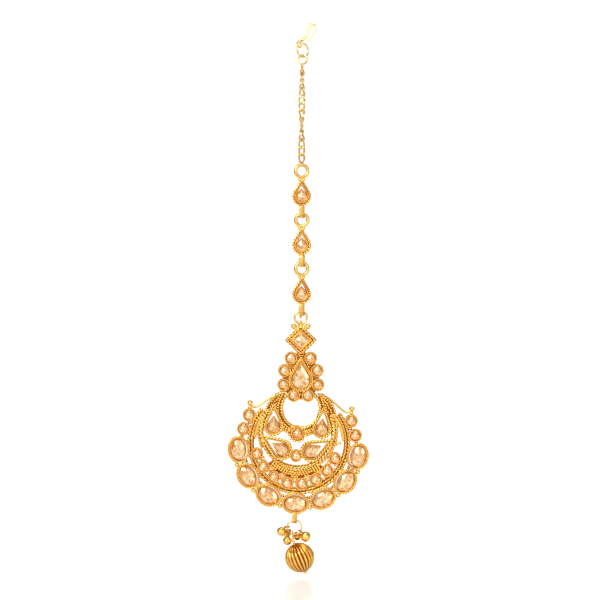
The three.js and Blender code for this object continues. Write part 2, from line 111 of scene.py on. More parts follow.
class TikkaStones(bpy.types.PropertyGroup):
    """Cut and colour of the stones"""

    point: length("Point", "How far the stones stand forward of the plane of the pendant", 1.55)
    girdle: length("Girdle", "How far the widest line of the stones lies forward", 0.72)
    # The facets' tones run from peach to cream by a painted reflection on each facet.
    cream: colour("Cream", "Bright facets", (1.0, 0.82, 0.52))
    peach: colour("Peach", "Darker facets", (0.78, 0.33, 0.08))
    # The rim colour is partly the dark foil at the stone's edge and partly painted shade in the gap between
    # stone and setting.
    rim: colour("Rim", "Foil that shows around the edge", (0.78, 0.26, 0.03))


class TikkaPendant(bpy.types.PropertyGroup):
    """Arcs of the crescent; lengths run from the centre of its round window"""

    lean: angle("Lean", "How far the crescent leans to the right of plumb", 3.4)
    window: length("Window", "Radius of the round window", 5.3)
    arcs_below: length("Arcs below", "How far the centre of the outer arcs lies below the window's", 10.3)
    border: length("Border", "Radius of the border between the ovals and the round stones", 14.5)
    round_arc: length("Round arc", "Radius of the row of round stones", 12.4)
    strip: length("Strip", "Radius of the plain strips at the sides", 13.3)
    inner_shift: length("Inner shift", "How far the openwork sits to the left", 0.6)
    inner_rope: length("Inner rope", "Radius of the inner border", 10.95)
    inner_below: length("Inner below", "How far the inner border's centre lies below the window's", 6.8)
    grain_arc: length("Grain arc", "Radius of the strip of grains", 9.6)


class TikkaStudio(bpy.types.PropertyGroup):
    """Floor, light and camera"""

    lens: bpy.props.FloatProperty(name="Lens", description="Focal length in millimetres", default=100)
    view_height: length("View height", "Height that the camera takes in at the object", 180)
    floor_gap: length("Floor gap", "How far the bead hangs above the floor", 0.6)
    aim: bpy.props.FloatVectorProperty(
        name="Aim", description="Point that the camera looks at", default=(-0.00351, 0, -0.0825), size=3,
        unit="LENGTH", subtype="TRANSLATION",
    )
    pale: colour("Pale", "Floor and backdrop", (1.0, 1.0, 1.0))


def metal():
    return bpy.context.scene.tikka_metal


def arcs():
    return bpy.context.scene.tikka_pendant


def mm(value):
    return value / MM


# ---- forms: corners in millimetres, faces, and the painted shade of each corner ----
class Form:
    """Solids gathered into one mesh, with painted shade on each corner, from 0 on raised parts to 1 deep in a
    hollow, and a painted reflection tone on each facet.
    """

    def __init__(self, matrix=None):
        self.matrix = matrix
        self.points, self.faces, self.recess, self.flash = [], [], [], []
        self.count = 0

    def add(self, solid, matrix=None):
        """Takes up a solid, placed by the form's own matrix unless another is given."""
        points, faces, recess, flash = solid
        matrix = self.matrix if matrix is None else matrix
        if matrix is not None:
            turn = np.array(matrix)
            points = points @ turn[:3, :3].T + turn[:3, 3]
        self.points.append(points)
        self.faces.extend(tuple(i + self.count for i in face) for face in faces)
        self.recess.append(recess)
        self.flash.append(flash)
        self.count += len(points)
        return self

    def put(self, solid, x, depth, z):
        """Takes up a solid at a spot in the form's own frame."""
        return self.add(solid, self.matrix @ Matrix.Translation((x, depth, z)))

    def piece(self, name, body, nodes, material, slot, crease=40):
        """The finished object, riding on a body in place of CAD nodes."""
        mesh = bpy.data.meshes.new(name)
        mesh.from_pydata((np.concatenate(self.points) * MM).tolist(), [], self.faces)
        mesh.update()
        recess = mesh.attributes.new("recess", "FLOAT", "POINT")
        recess.data.foreach_set("value", np.concatenate(self.recess).astype(np.float32))
        flash = mesh.attributes.new("flash", "FLOAT", "FACE")
        flash.data.foreach_set("value", np.concatenate(self.flash).astype(np.float32))
        mesh.polygons.foreach_set("use_smooth", [crease > 0] * len(mesh.polygons))
        if crease > 0:
            mesh.set_sharp_from_angle(angle=math.radians(crease))
        mesh.materials.append(material)
        obj = bpy.data.objects.new(name, mesh)
        bpy.context.scene.collection.objects.link(obj)
        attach(obj, body)
        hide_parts(*nodes)
        return obj


def solid_of(bm, recess=None):
    """Closes a bmesh into a solid; a function of a corner's place and normal gives its painted shade."""
    bmesh.ops.recalc_face_normals(bm, faces=bm.faces)
    bm.normal_update()
    bm.verts.index_update()
    points = np.array([v.co for v in bm.verts])
    faces = [tuple(v.index for v in face.verts) for face in bm.faces]
    deep = np.array([recess(v.co, v.normal) if recess else 0.0 for v in bm.verts])
    bm.free()
    return points, faces, np.clip(deep, 0, 1), np.zeros(len(faces))


def outward(points, faces, recess, flash):
    """The solid with every face turned outward."""
    bm = bmesh.new()
    corners = [bm.verts.new(p) for p in points]
    for face in faces:
        bm.faces.new([corners[i] for i in face])
    bmesh.ops.recalc_face_normals(bm, faces=bm.faces)
    bm.verts.index_update()
    turned = [tuple(v.index for v in face.verts) for face in bm.faces]
    bm.free()
    return np.array(points), turned, np.array(recess), np.array(flash)


def ball(radius, rings=0):
    """A grain of metal, or with rings a smooth ball; painted shade darkens the side away from the viewer."""
    bm = bmesh.new()
    if rings:
        bmesh.ops.create_uvsphere(bm, u_segments=2 * rings, v_segments=rings, radius=radius)
    else:
        bmesh.ops.create_icosphere(bm, subdivisions=2, radius=radius)
    return solid_of(bm, lambda place, normal: 0.42 + 0.75 * normal.y)


def hoop(radius, wire, segments=48, sides=10):
    """A wire ring in the plane of the pendant."""
    bm = bmesh.new()
    made = bmesh.ops.create_circle(bm, segments=sides, radius=wire)
    bmesh.ops.translate(bm, verts=made["verts"], vec=(radius, 0, 0))
    bmesh.ops.spin(
        bm, geom=bm.verts[:] + bm.edges[:], axis=(0, 1, 0), cent=(0, 0, 0),
        angle=2 * math.pi, steps=segments, use_merge=True,
    )
    # Painted shade darkens the side away from the viewer.
    return solid_of(bm, lambda place, normal: 0.25 + 0.5 * normal.y)


def darkened(solid, amount):
    """The solid with that much more painted shade on all its corners."""
    points, faces, recess, flash = solid
    return points, faces, np.clip(recess + amount, 0, 1), flash


def skinned(loops, recess, closed):
    """A skin through loops of equally many points, capped at both ends unless they close on themselves."""
    count, sides = len(loops), len(loops[0])
    faces = []
    for i in range(count if closed else count - 1):
        a, b = i * sides, (i + 1) % count * sides
        for j in range(sides):
            k = (j + 1) % sides
            faces.append((a + j, a + k, b + k, b + j))
    if not closed:
        faces.append(tuple(range(sides))[::-1])
        faces.append(tuple(range((count - 1) * sides, count * sides)))
    return outward(np.concatenate(loops), faces, np.clip(recess, 0, 1), np.zeros(len(faces)))


# ---- tubes along a path ----
ROUND_END = ((0.5, 0.86), (0.87, 0.5))   # rings of a rounded end: share of its reach, scale of the outline
ROPE_SIDES = 12
ROPE_GROOVE = 0.42                       # depth between two strands, as a share of the rope's radius
STRIP_SIDES = 16
STRIP_CORNER = 0.62                      # below 1, so that a strip's outline is squarer than an oval


def distances(points):
    """The distance run at each point of a path."""
    return np.concatenate([[0], np.cumsum(np.linalg.norm(np.diff(points, axis=0), axis=1))])


def around(count):
    """Angles at even steps around a full turn."""
    return np.arange(count) * 2 * math.pi / count


def evenly(path, step, closed):
    """The path at even steps along its length, the distance run at each stop, and the whole length."""
    points = np.array(path, float)
    if closed:
        points = np.vstack([points, points[:1]])
    runs = distances(points)
    count = max(4, int(round(runs[-1] / step)))
    stops = np.linspace(0, runs[-1], count + 1)
    if closed:
        stops = stops[:-1]
    return np.stack([np.interp(stops, runs, points[:, i]) for i in range(3)], axis=1), stops, runs[-1]


def swept(path, section, step, closed=False, up=FACE_ON, ends=0.0):
    """A tube along a path. section(run, whole) gives the outline there as (sideways, along up, painted shade)
    rows.
    ends is how far a rounded end reaches past the last stop."""
    even, stops, whole = evenly(path, step, closed)
    ahead = np.roll(even, -1, axis=0) if closed else np.vstack([even[1:], 2 * even[-1:] - even[-2:-1]])
    behind = np.roll(even, 1, axis=0) if closed else np.vstack([2 * even[:1] - even[1:2], even[:-1]])
    tangent = ahead - behind
    tangent /= np.linalg.norm(tangent, axis=1)[:, None]
    side = np.cross(tangent, np.array(up))
    side /= np.linalg.norm(side, axis=1)[:, None]
    lift = np.cross(side, tangent)
    rows = [(even[i], side[i], lift[i], tangent[i], section(stops[i], whole)) for i in range(len(even))]

    def shrunk(row, reach, scale):
        centre, across, lifted, along, outline = row
        return centre + reach * ends * along, across, lifted, along, outline * np.array([scale, scale, 1])

    if not closed and ends:
        first, last = rows[0], rows[-1]
        rows = [shrunk(first, -reach, scale) for reach, scale in reversed(ROUND_END)] + rows
        rows += [shrunk(last, reach, scale) for reach, scale in ROUND_END]
    loops = [
        centre + outline[:, :1] * across + outline[:, 1:2] * lifted
        for centre, across, lifted, _, outline in rows
    ]
    return skinned(loops, np.concatenate([outline[:, 2] for *_, outline in rows]), closed)


def wire_section(radius, sides=10):
    turns = around(sides)
    # The third column is painted shade, darker on the side away from the viewer.
    rows = np.stack([radius * np.cos(turns), radius * np.sin(turns), 0.25 + 0.5 * np.sin(turns)], axis=1)
    return lambda run, whole: rows


def rope_section(radius, period, swell=0.0):
    """Two strands wound around each other; period is from one strand to the next along the rope.
    swell is how much thicker the rope is at its ends than in the middle."""
    turns = around(ROPE_SIDES)

    def section(run, whole):
        twists = max(1, round(whole / (2 * period)))
        wound = turns - 2 * math.pi * twists * run / whole
        dip = np.abs(np.sin(wound)) ** 0.8
        thick = radius * (1 + swell * (2 * run / whole - 1) ** 2)
        reach = thick * (1 - ROPE_GROOVE * (1 - dip))
        # Painted shade: dark in the grooves between the strands and on the side away from the viewer.
        deep = 1.5 * (1 - dip ** 1.4) + 0.4 * np.sin(turns) - 0.1
        return np.stack([reach * np.cos(turns), reach * np.sin(turns), deep], axis=1)

    return section


def strip_section(width, thickness):
    """A slightly domed strip with softly rounded edges."""
    corners = []
    for i in range(STRIP_SIDES):
        turn = (i + 0.5) * 2 * math.pi / STRIP_SIDES
        c, s = math.cos(turn), math.sin(turn)
        across = width / 2 * math.copysign(abs(c) ** STRIP_CORNER, c)
        deep = thickness / 2 * math.copysign(abs(s) ** STRIP_CORNER, s)
        # The third value is painted shade, darker toward the strip's back face.
        corners.append((across, deep, 0.1 + 0.45 * (s + 0.3)))
    rows = np.array(corners)
    return lambda run, whole: rows


def rope(path, radius, period, closed=False, swell=0.0):
    return swept(path, rope_section(radius, period, swell), period / 4, closed, ends=0 if closed else radius)


def wire(path, radius, closed=False, step=None):
    return swept(path, wire_section(radius), step or radius * 1.2, closed, ends=0 if closed else radius)


def curve(points, count=12):
    """A smooth path through the points."""
    pts = [Vector(p) for p in points]
    pts = [2 * pts[0] - pts[1]] + pts + [2 * pts[-1] - pts[-2]]
    out = []
    for a, b, c, d in zip(pts, pts[1:], pts[2:], pts[3:]):
        for i in range(count):
            t = i / count
            out.append(0.5 * (
                2 * b + (c - a) * t + (2 * a - 5 * b + 4 * c - d) * t * t + (3 * b - 3 * c + d - a) * t ** 3
            ))
    out.append(pts[-2])
    return [tuple(p) for p in out]


def arc(radius, start, end, depth, x=0.0, z=0.0, count=64):
    """Points on an arc; angles in degrees from straight down, growing to the right."""
    turns = np.radians(np.linspace(start, end, count))
    return np.stack([x + radius * np.sin(turns), np.full(count, depth), z - radius * np.cos(turns)], axis=1)


# ---- outlines in the plane of the pendant, as rows of x and z ----
def softened(points, times):
    for _ in range(times):
        points = (np.roll(points, 1, axis=0) + 2 * points + np.roll(points, -1, axis=0)) / 4
    return points


def oval_outline(half_width, half_height):
    def outline(grow, count):
        turns = around(count) + math.pi / 2
        return np.stack([(half_width + grow) * np.cos(turns), (half_height + grow) * np.sin(turns)], axis=1)
    return outline


def round_outline(radius):
    return oval_outline(radius, radius)


def corner_outline(corners, count):
    """Evenly spaced points along straight sides, beginning at the first corner."""
    closed = np.vstack([corners, corners[:1]])
    runs = distances(closed)
    stops = np.arange(count) * runs[-1] / count
    return np.stack([np.interp(stops, runs, closed[:, i]) for i in range(2)], axis=1)


def teardrop_outline(radius, height):
    """A circle with a point above it; the straight sides are tangent to the circle."""
    def outline(grow, count):
        r = radius + grow
        tip = height * r / radius if grow < 0.6 else height + grow * height / radius * 0.9
        opened = math.acos(r / tip)
        turns = np.linspace(math.pi / 2 + opened, 2.5 * math.pi - opened, 65)
        bowl = r * np.stack([np.cos(turns), np.sin(turns)], axis=1)
        return corner_outline(np.vstack([[[0, tip]], bowl]), count)
    return outline


def diamond_outline(half_width, half_height):
    def outline(grow, count):
        side = math.hypot(half_width, half_height)
        w = half_width + grow * side / half_height
        h = half_height + grow * side / half_width
        return corner_outline(np.array([[0, h], [-w, 0], [0, -h], [w, 0]]), count)
    return outline


def standing(outline, depth):
    """An outline as points at a depth."""
    return np.stack([outline[:, 0], np.full(len(outline), depth), outline[:, 1]], axis=1)


def lofted(loops, recess, closed=False):
    """A skin through loops, with one painted shade value for each loop."""
    return skinned(loops, np.repeat(np.array(recess, float), len(loops[0])), closed)


PLATE_EDGE = 0.12   # bevel around a plate


def plate(outline, back, front, recess=0.75):
    """A flat plate with softened edges, from an outline of x and z; its front half takes the given painted
    shade, as it lies down among the raised work, and its back half 0.3.
    """
    bm = bmesh.new()
    face = bm.faces.new([bm.verts.new((x, back, z)) for x, z in outline])
    made = bmesh.ops.extrude_face_region(bm, geom=[face])
    moved = [v for v in made["geom"] if isinstance(v, bmesh.types.BMVert)]
    bmesh.ops.translate(bm, verts=moved, vec=(0, front - back, 0))
    rims = [e for e in bm.edges if abs(e.verts[0].co.y - e.verts[1].co.y) < 1e-6]
    bmesh.ops.bevel(
        bm, geom=rims, offset=PLATE_EDGE, segments=2, profile=0.5, material=-1, affect="EDGES")
    middle = (back + front) / 2
    return solid_of(bm, lambda place, normal: recess if place.y < middle else 0.3)


def band(radius, width, start, end, back, front, x=0.0, z=0.0, recess=0.75):
    count = max(8, int(abs(end - start) / 4))
    outer = arc(radius + width / 2, start, end, 0, x, z, count)[:, [0, 2]]
    inner = arc(radius - width / 2, end, start, 0, x, z, count)[:, [0, 2]]
    return plate(np.vstack([outer, inner]), back, front, recess=recess)


# ---- settings and stones ----
BACK = 0.9     # the flat back of the soldered work
FRONT = -1.0   # front rims of the settings
SEAT = 0.5     # front of the floor under a stone

ROUND = {"opening": round_outline(1.45), "stone": round_outline(1.3), "wall": 0.52, "cuts": 9}
SIDE_ROUND = {"opening": round_outline(1.5), "stone": round_outline(1.35), "wall": 0.55, "cuts": 9}
OVAL = {
    "opening": oval_outline(3.3, 2.5), "stone": oval_outline(3.0, 2.15), "drop": 0.2, "wall": 0.42,
    "cuts": 12, "rope": 0.72,
}
UPPER_TEAR = {
    "opening": teardrop_outline(1.9, 5.0), "stone": teardrop_outline(1.6, 2.9), "drop": 0.15, "wall": 0.42,
    "cuts": 12, "rope": 0.9, "thick": 0.42, "soft": 2,
}
LOWER_TEAR = {
    "opening": teardrop_outline(2.1, 5.4), "stone": teardrop_outline(1.7, 3.2), "drop": 0.2, "wall": 0.45,
    "cuts": 12, "rope": 0.95, "thick": 0.48, "soft": 2,
}
KITE = {
    "opening": diamond_outline(2.8, 2.7), "stone": diamond_outline(2.6, 2.5), "wall": 0.5, "cuts": 8,
}
PEAR = {
    "opening": teardrop_outline(2.85, 5.6), "stone": teardrop_outline(2.65, 5.2), "wall": 0.4,
    "cuts": 14, "soft": 1, "rope": 0.74,
}
LINK = {
    "opening": teardrop_outline(1.7, 3.4), "stone": teardrop_outline(1.5, 2.1), "drop": 0.1, "wall": 0.42,
    "cuts": 12, "soft": 2,
}
FINE = 48      # points around a setting's outline
SMOOTH = 96    # points around an outline that a rope follows


def collet(kind):
    """The wall around a stone with its rolled rim, and the floor under it."""
    wall = kind["wall"]
    stations = [   # out from the opening, depth, painted shade
        (0.0, SEAT + 0.1, 0.7), (0.0, FRONT + 0.45, 0.5), (0.03, FRONT + 0.16, 0.2),
        (0.3 * wall, FRONT, 0.0), (0.7 * wall, FRONT, 0.0), (wall - 0.03, FRONT + 0.16, 0.1),
        (wall, FRONT + 0.45, 0.45), (wall, SEAT, 0.9), (wall, BACK - 0.1, 0.5),
        (wall - 0.1, BACK, 0.3), (0.1, BACK, 0.3), (0.0, BACK - 0.1, 0.6),
    ]
    soft = kind.get("soft", 0)
    loops = [standing(softened(kind["opening"](grow, FINE), soft), depth) for grow, depth, _ in stations]
    return lofted(loops, [deep for *_, deep in stations], closed=True)


def seat(kind):
    """The floor that carries the stone, with the little cup that the stone's foil lies in."""
    drop = np.array([0, -kind.get("drop", 0.0)])
    grown = kind["stone"](0.32, FINE) + drop
    lipped = kind["stone"](0.05, FINE) + drop
    stations = (   # outline, depth, painted shade
        (grown * 0.97, BACK - 0.02, 0.3), (grown, BACK - 0.1, 0.4), (grown, SEAT + 0.08, 0.4),
        (lipped, SEAT, 0.4), (lipped * 0.9, SEAT + 0.02, 0.6),
    )
    return lofted([standing(outline, depth) for outline, depth, _ in stations], [deep for *_, deep in stations])


def setting(kind):
    """All the metal that holds one stone."""
    solids = [collet(kind), seat(kind)]
    if "rope" in kind:
        thick = kind.get("thick", mm(metal().fine_rope))

        def around_wall(grow, depth):
            return standing(softened(kind["opening"](kind["wall"] + grow, SMOOTH), kind.get("soft", 0)), depth)

        solids.append(rope(around_wall(thick - 0.1, -0.32 - thick), thick, kind["rope"], closed=True))
        solids.append(wire(around_wall(0.08, 0.2), 0.28, closed=True, step=0.5))
    return solids


def cut_stone(kind, seed):
    """A foiled stone whose crown rises to a point in front: rows of facets, each with its own painted
    reflection tone.
    """
    chance = random.Random(seed)
    stones = bpy.context.scene.tikka_stones
    point, girdle = mm(stones.point), mm(stones.girdle)
    cuts = kind["cuts"]
    rim = kind["stone"](0.18, 2 * cuts)
    # Each level: scale, depth, shift and painted shade; the shade is full at the girdle, where foil edge and
    # gap show.
    levels = [
        (0.84, SEAT - 0.13, 0, 1.0), (1.0, -girdle + 0.12, 0, 1.0), (1.0, -girdle, 0, 0.95),
        (0.86, -girdle - 0.26, 1, 0.3), (0.6, -0.5 * (girdle + point) - 0.16, 0, 0.0),
        (0.27, -point + 0.12, 1, 0.0),
    ]
    points, recess = [], []
    for scale, depth, shift, deep in levels:
        ring = rim[shift::2] * scale
        points.extend((x, depth, z) for x, z in ring)
        recess.extend([deep] * cuts)
    top = len(points)
    points.append((0, -point, 0))
    recess.append(0.0)
    faces, flash = [tuple(range(cuts))], [0.2]
    for level in range(len(levels) - 1):
        a, b = level * cuts, (level + 1) * cuts
        turned = levels[level + 1][2] - levels[level][2]
        for j in range(cuts):
            k, before = (j + 1) % cuts, (j - 1) % cuts
            if turned == 0:
                made = [(a + j, a + k, b + k, b + j)]
            elif turned > 0:
                made = [(a + j, a + k, b + j), (a + k, b + k, b + j)]
            else:
                made = [(a + j, b + k, b + j), (a + j, b + j, a + before)]
            faces.extend(made)
            flash.extend(chance.random() for _ in made)
    last = (len(levels) - 1) * cuts
    for j in range(cuts):
        faces.append((last + j, last + (j + 1) % cuts, top))
        flash.append(chance.random())
    shifted = np.array(points) + np.array([0, 0, -kind.get("drop", 0.0)])
    return outward(shifted, faces, recess, flash)


def stone_place(node, kind, lean):
    """Where a setting stands: its stone's box in the frame, and its lean to the right in degrees."""
    low, high = (mm(corner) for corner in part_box(node))
    turn = math.radians(lean)
    outline = kind["stone"](0, SMOOTH) + np.array([0, -kind.get("drop", 0.0)])
    x = outline[:, 0] * math.cos(turn) + outline[:, 1] * math.sin(turn)
    z = outline[:, 1] * math.cos(turn) - outline[:, 0] * math.sin(turn)
    place = Vector((
        (low.x + high.x - x.min() - x.max()) / 2, 0, (low.z + high.z - z.min() - z.max()) / 2,
    ))
    return Matrix.Translation(place) @ Matrix.Rotation(turn, 4, "Y")


OVAL_STEP = 26.8     # degrees between neighbouring ovals on their arc
ROUND_STEP = 20.25   # degrees between the balls along the row of round stones
UPPER_LEAN = 2.5     # degrees that an upper teardrop leans outward
LOWER_LEAN = 58.5    # and a lower one
MIDDLE_STONE = -7.45   # height of the upper middle stone's centre from the window's


def pendant_places():
    """Every stone of the pendant as node, kind and matrix."""
    lean = math.degrees(arcs().lean)
    listed = [("diamond_stone", KITE, 0), ("pear_stone", PEAR, 0)]
    for side, way in (("left", -1), ("right", 1)):
        listed += [(f"cluster_round_stone_{side}_{i}", ROUND, 0) for i in range(1, 5)]
        listed += [(f"side_round_stone_{side}_{i}", SIDE_ROUND, lean) for i in range(1, 3)]
        listed.append((f"upper_teardrop_stone_{side}", UPPER_TEAR, way * UPPER_LEAN + lean))
        listed.append((f"lower_teardrop_stone_{side}", LOWER_TEAR, way * LOWER_LEAN + lean))
    listed += [(f"oval_stone_{i}", OVAL, (4 - i) * OVAL_STEP + lean) for i in range(1, 8)]
    listed += [(f"row_round_stone_{i}", ROUND, lean) for i in range(1, 9)]
    listed += [(f"middle_round_stone_{i}", ROUND, lean) for i in range(1, 3)]
    return [(node, kind, stone_place(node, kind, turn)) for node, kind, turn in listed]


def setting_matrix(node):
    return next(matrix for name, _, matrix in pendant_places() if name == node)


def window_centre():
    """The centre of the crescent's round window, from the upper middle stone below it."""
    low, high = (mm(corner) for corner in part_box("middle_round_stone_1"))
    offset = Matrix.Rotation(arcs().lean, 4, "Y") @ Vector((-mm(arcs().inner_shift), 0, MIDDLE_STONE))
    return Vector(((low.x + high.x) / 2, 0, (low.z + high.z) / 2)) - offset


def crescent_frame():
    return Matrix.Translation(window_centre()) @ Matrix.Rotation(arcs().lean, 4, "Y")


# ---- materials ----
class Socket:
    """An output of a shader node that takes part in arithmetic."""

    def __init__(self, graph, output):
        self.graph, self.output = graph, output

    def __add__(self, other):
        return self.graph.maths("ADD", self, other)

    def __sub__(self, other):
        return self.graph.maths("SUBTRACT", self, other)

    def __rsub__(self, other):
        return self.graph.maths("SUBTRACT", other, self)

    def __mul__(self, other):
        return self.graph.maths("MULTIPLY", self, other)

    __radd__ = __add__
    __rmul__ = __mul__

    def held(self):
        """The value kept between 0 and 1."""
        return self.graph.maths("ADD", self, 0.0, clamp=True)


class Graph:
    """The node tree of one material."""

    def __init__(self, name):
        self.material = bpy.data.materials.new(name)
        self.material.use_nodes = True
        self.tree = self.material.node_tree
        self.tree.nodes.clear()

    def add(self, kind, output, settings=None, **inputs):
        """A node of a type, with its settings made first and then its sockets filled or linked."""
        node = self.tree.nodes.new(kind)
        for key, value in (settings or {}).items():
            setattr(node, key, value)
        for key, value in inputs.items():
            self.fill(node.inputs[key.replace("_", " ")], value)
        return Socket(self, node.outputs[output])

    def fill(self, socket, value):
        if isinstance(value, Socket):
            self.tree.links.new(value.output, socket)
        elif hasattr(value, "__len__") and len(value) == 3 and socket.type == "RGBA":
            socket.default_value = (*value, 1)
        else:
            socket.default_value = value

    def maths(self, operation, first, second, clamp=False):
        node = self.tree.nodes.new("ShaderNodeMath")
        node.operation = operation
        node.use_clamp = clamp
        self.fill(node.inputs[0], first)
        self.fill(node.inputs[1], second)
        return Socket(self, node.outputs[0])

    def mix(self, share, first, second):
        """A colour between two colours."""
        node = self.tree.nodes.new("ShaderNodeMix")
        node.data_type = "RGBA"
        self.fill(node.inputs["Factor"], share)
        self.fill(node.inputs[6], first)
        self.fill(node.inputs[7], second)
        return Socket(self, node.outputs[2])

    def place(self, scale):
        """The object's own coordinates, at so many repeats a millimetre."""
        where = self.add("ShaderNodeTexCoord", "Object")
        node = self.tree.nodes.new("ShaderNodeVectorMath")
        node.operation = "SCALE"
        self.fill(node.inputs[0], where)
        node.inputs["Scale"].default_value = scale / MM
        return Socket(self, node.outputs[0])

    def noise(self, scale, detail=3.0, roughness=0.5):
        return self.add(
            "ShaderNodeTexNoise", "Fac", Vector=self.place(scale), Scale=1.0, Detail=detail, Roughness=roughness
        )

    def attribute(self, name):
        return self.add(
            "ShaderNodeAttribute", "Fac", {"attribute_type": "GEOMETRY", "attribute_name": name}
        )

    def bump(self, height, distance, strength=1.0):
        return self.add("ShaderNodeBump", "Normal", Height=height, Distance=distance, Strength=strength)

    def finish(self, **inputs):
        surface = self.add("ShaderNodeBsdfPrincipled", "BSDF", **inputs)
        out = self.tree.nodes.new("ShaderNodeOutputMaterial")
        self.tree.links.new(surface.output, out.inputs["Surface"])
        return self.material


def gold_material(name, raised, deep, roughness=0.2, shade_strength=1.0):
    """Polished gold with painted shade that darkens its colour in the hollows, with soft casting marks and fine
    wear.
    """
    if name in bpy.data.materials:
        return bpy.data.materials[name]
    graph = Graph(name)
    recess = graph.attribute("recess")
    cloud = graph.noise(0.35, 2.0)
    grit = graph.noise(3.2, 4.0, 0.6)
    # Painted shade from each corner's shade value, scaled by the shade strength, mixed with random tone from
    # the cloud and grit.
    shade_and_tone = (recess * (1.5 * shade_strength) + (cloud - 0.5) * 0.8 + (grit - 0.5) * 0.4 - 0.2).held()
    warm = graph.mix(cloud, [c * f for c, f in zip(raised, (0.96, 0.86, 0.62))], raised)
    # The third colour, deep, is the colour of the painted shade.
    tone = graph.mix(shade_and_tone, warm, deep)
    gloss = shade_and_tone * 0.22 + grit * 0.16 + (roughness - 0.08)
    marks = graph.bump(grit * 0.7 + graph.noise(9.0, 2.0) * 0.3, 0.035 * MM, 0.6)
    return graph.finish(Base_Color=tone, Metallic=1.0, Roughness=gloss, Normal=marks)


def stone_material(name):
    """Champagne stone over gold foil, under a glassy surface: painted reflections give the facets different
    tones, and the darker edge is partly the foil and partly painted shade in the gap around the stone.
    """
    if name in bpy.data.materials:
        return bpy.data.materials[name]
    stones = bpy.context.scene.tikka_stones
    graph = Graph(name)
    recess = graph.attribute("recess")
    flash = graph.attribute("flash")
    cells = graph.add("ShaderNodeTexVoronoi", "Color", {"feature": "F1"}, Vector=graph.place(0.55), Scale=1.0)
    cells = (cells - 0.5) * 1.5 + 0.5
    cloud = graph.noise(0.5, 2.0)
    # light: a painted reflection on each facet from its flash, with random tone from the cells and the cloud.
    light = (flash * 1.5 + cells * 0.2 + (cloud - 0.5) * 0.5 - 0.24).held()
    body = graph.mix(light, stones.peach, stones.cream)
    # Toward the girdle the colour goes to the rim colour: partly foil, partly painted shade in the gap.
    tone = graph.mix((recess * 0.95 + (cloud - 0.5) * 0.2).held(), body, stones.rim)
    gloss = flash * 0.1 + 0.06
    ripple = graph.bump(graph.noise(1.4, 1.0), 0.05 * MM, 0.35)
    return graph.finish(
        Base_Color=tone, Metallic=0.65, Roughness=gloss, Coat_Weight=0.35, Coat_Roughness=0.03, Normal=ripple,
        Specular_IOR_Level=0.7,
    )


def gold():
    return gold_material("cast_gold", tuple(metal().gold), tuple(metal().recess_shade_gold))


def pale_wire():
    # Painted light: a paler copy of the gold for thin wire, standing in for the white glare of the backdrop
    # over it; (0.6, 0.3, 0.05) is its painted shade colour.
    pale = [0.4 * c + 0.6 * f for c, f in zip(metal().pale_gold, (1.0, 0.86, 0.48))]
    return gold_material("pale_wire", tuple(pale), (0.6, 0.3, 0.05), 0.2, 0.7)


def pale_gold():
    return gold_material("bright_gold", tuple(metal().pale_gold), tuple(metal().recess_shade_gold), 0.17)


# ---- operators ----
class Builder(bpy.types.Operator):
    """Shared behaviour of the operators: build() does the work"""

    bl_options = {"REGISTER", "UNDO"}

    def execute(self, context):
        self.build()
        return {"FINISHED"}


def pendant_gold(form, name):
    """Gold work of the pendant, in place of its soldered metal."""
    form.piece(name, "pendant", ["pendant_frame"], gold(), "gold")


class TIKKA_OT_stones(Builder):
    """Cuts every stone of the pendant and of the three links"""

    bl_idname = "tikka.stones"
    bl_label = "Stones"

    def build(self):
        material = stone_material("foiled_stone")
        for seed, (node, kind, matrix) in enumerate(pendant_places()):
            form = Form().add(cut_stone(kind, seed), matrix)
            form.piece(f"{node}_cut", "pendant", [node], material, "champagne_stone", crease=0)
        for i in range(1, 4):
            form = Form().add(cut_stone(LINK, 100 + i), link_frame(i) @ Matrix.Translation((0, 0, LINK_DROP)))
            form.piece(f"link_stone_{i}_cut", "holder", [f"link_stone_{i}"], material, "champagne_stone", 0)


class TIKKA_OT_settings(Builder):
    """Makes the settings around the stones of the pendant"""

    bl_idname = "tikka.settings"
    bl_label = "Settings"

    def build(self):
        groups = {}
        for node, kind, matrix in pendant_places():
            form = groups.setdefault(node.split("_stone")[0], Form())
            for solid in setting(kind):
                form.add(solid, matrix)
        for name, form in groups.items():
            pendant_gold(form, f"{name}_settings")


def free_of_settings(x, z, margin, places):
    """True where a grain in the crescent's plane stays clear of the stones' openings."""
    spot = crescent_frame() @ Vector((x, 0, z))
    for _, kind, matrix in places:
        local = matrix.inverted() @ spot
        outline = kind["opening"](kind["wall"] + margin, FINE)
        turns = np.arctan2(outline[:, 1], outline[:, 0])
        order = np.argsort(turns)
        reach = np.interp(
            math.atan2(local.z, local.x), turns[order], np.hypot(outline[:, 0], outline[:, 1])[order],
            period=2 * math.pi,
        )
        if math.hypot(local.x, local.z) < reach:
            return False
    return True


FINE_TWIST = 0.85    # from strand to strand along a fine rope
HORN_EDGE = ((4.9, 4.6), (8.6, 4.2), (11.0, 0.6), (11.2, -6.5))   # x and z that bow the outer edge
HORN_FOOT = ((9.3, -7.2), (6.6, -8.0), (4.3, -6.9), (3.9, -5.4), (5.7, 1.0))
HORN_ROWS = 7
HORN_PLATE = 0.2   # depth of the plate under the grains


def horn_edge(t):
    """The bowed outer edge of the right horn."""
    a, b, c, d = (np.array(p) for p in HORN_EDGE)
    return (1 - t) ** 3 * a + 3 * t * (1 - t) ** 2 * b + 3 * t * t * (1 - t) * c + t ** 3 * d


def horn_rim(t):
    """The line of the right horn beside the window."""
    turn = math.radians(43 - 88 * t)
    return 6.85 * np.array([math.cos(turn), math.sin(turn)])


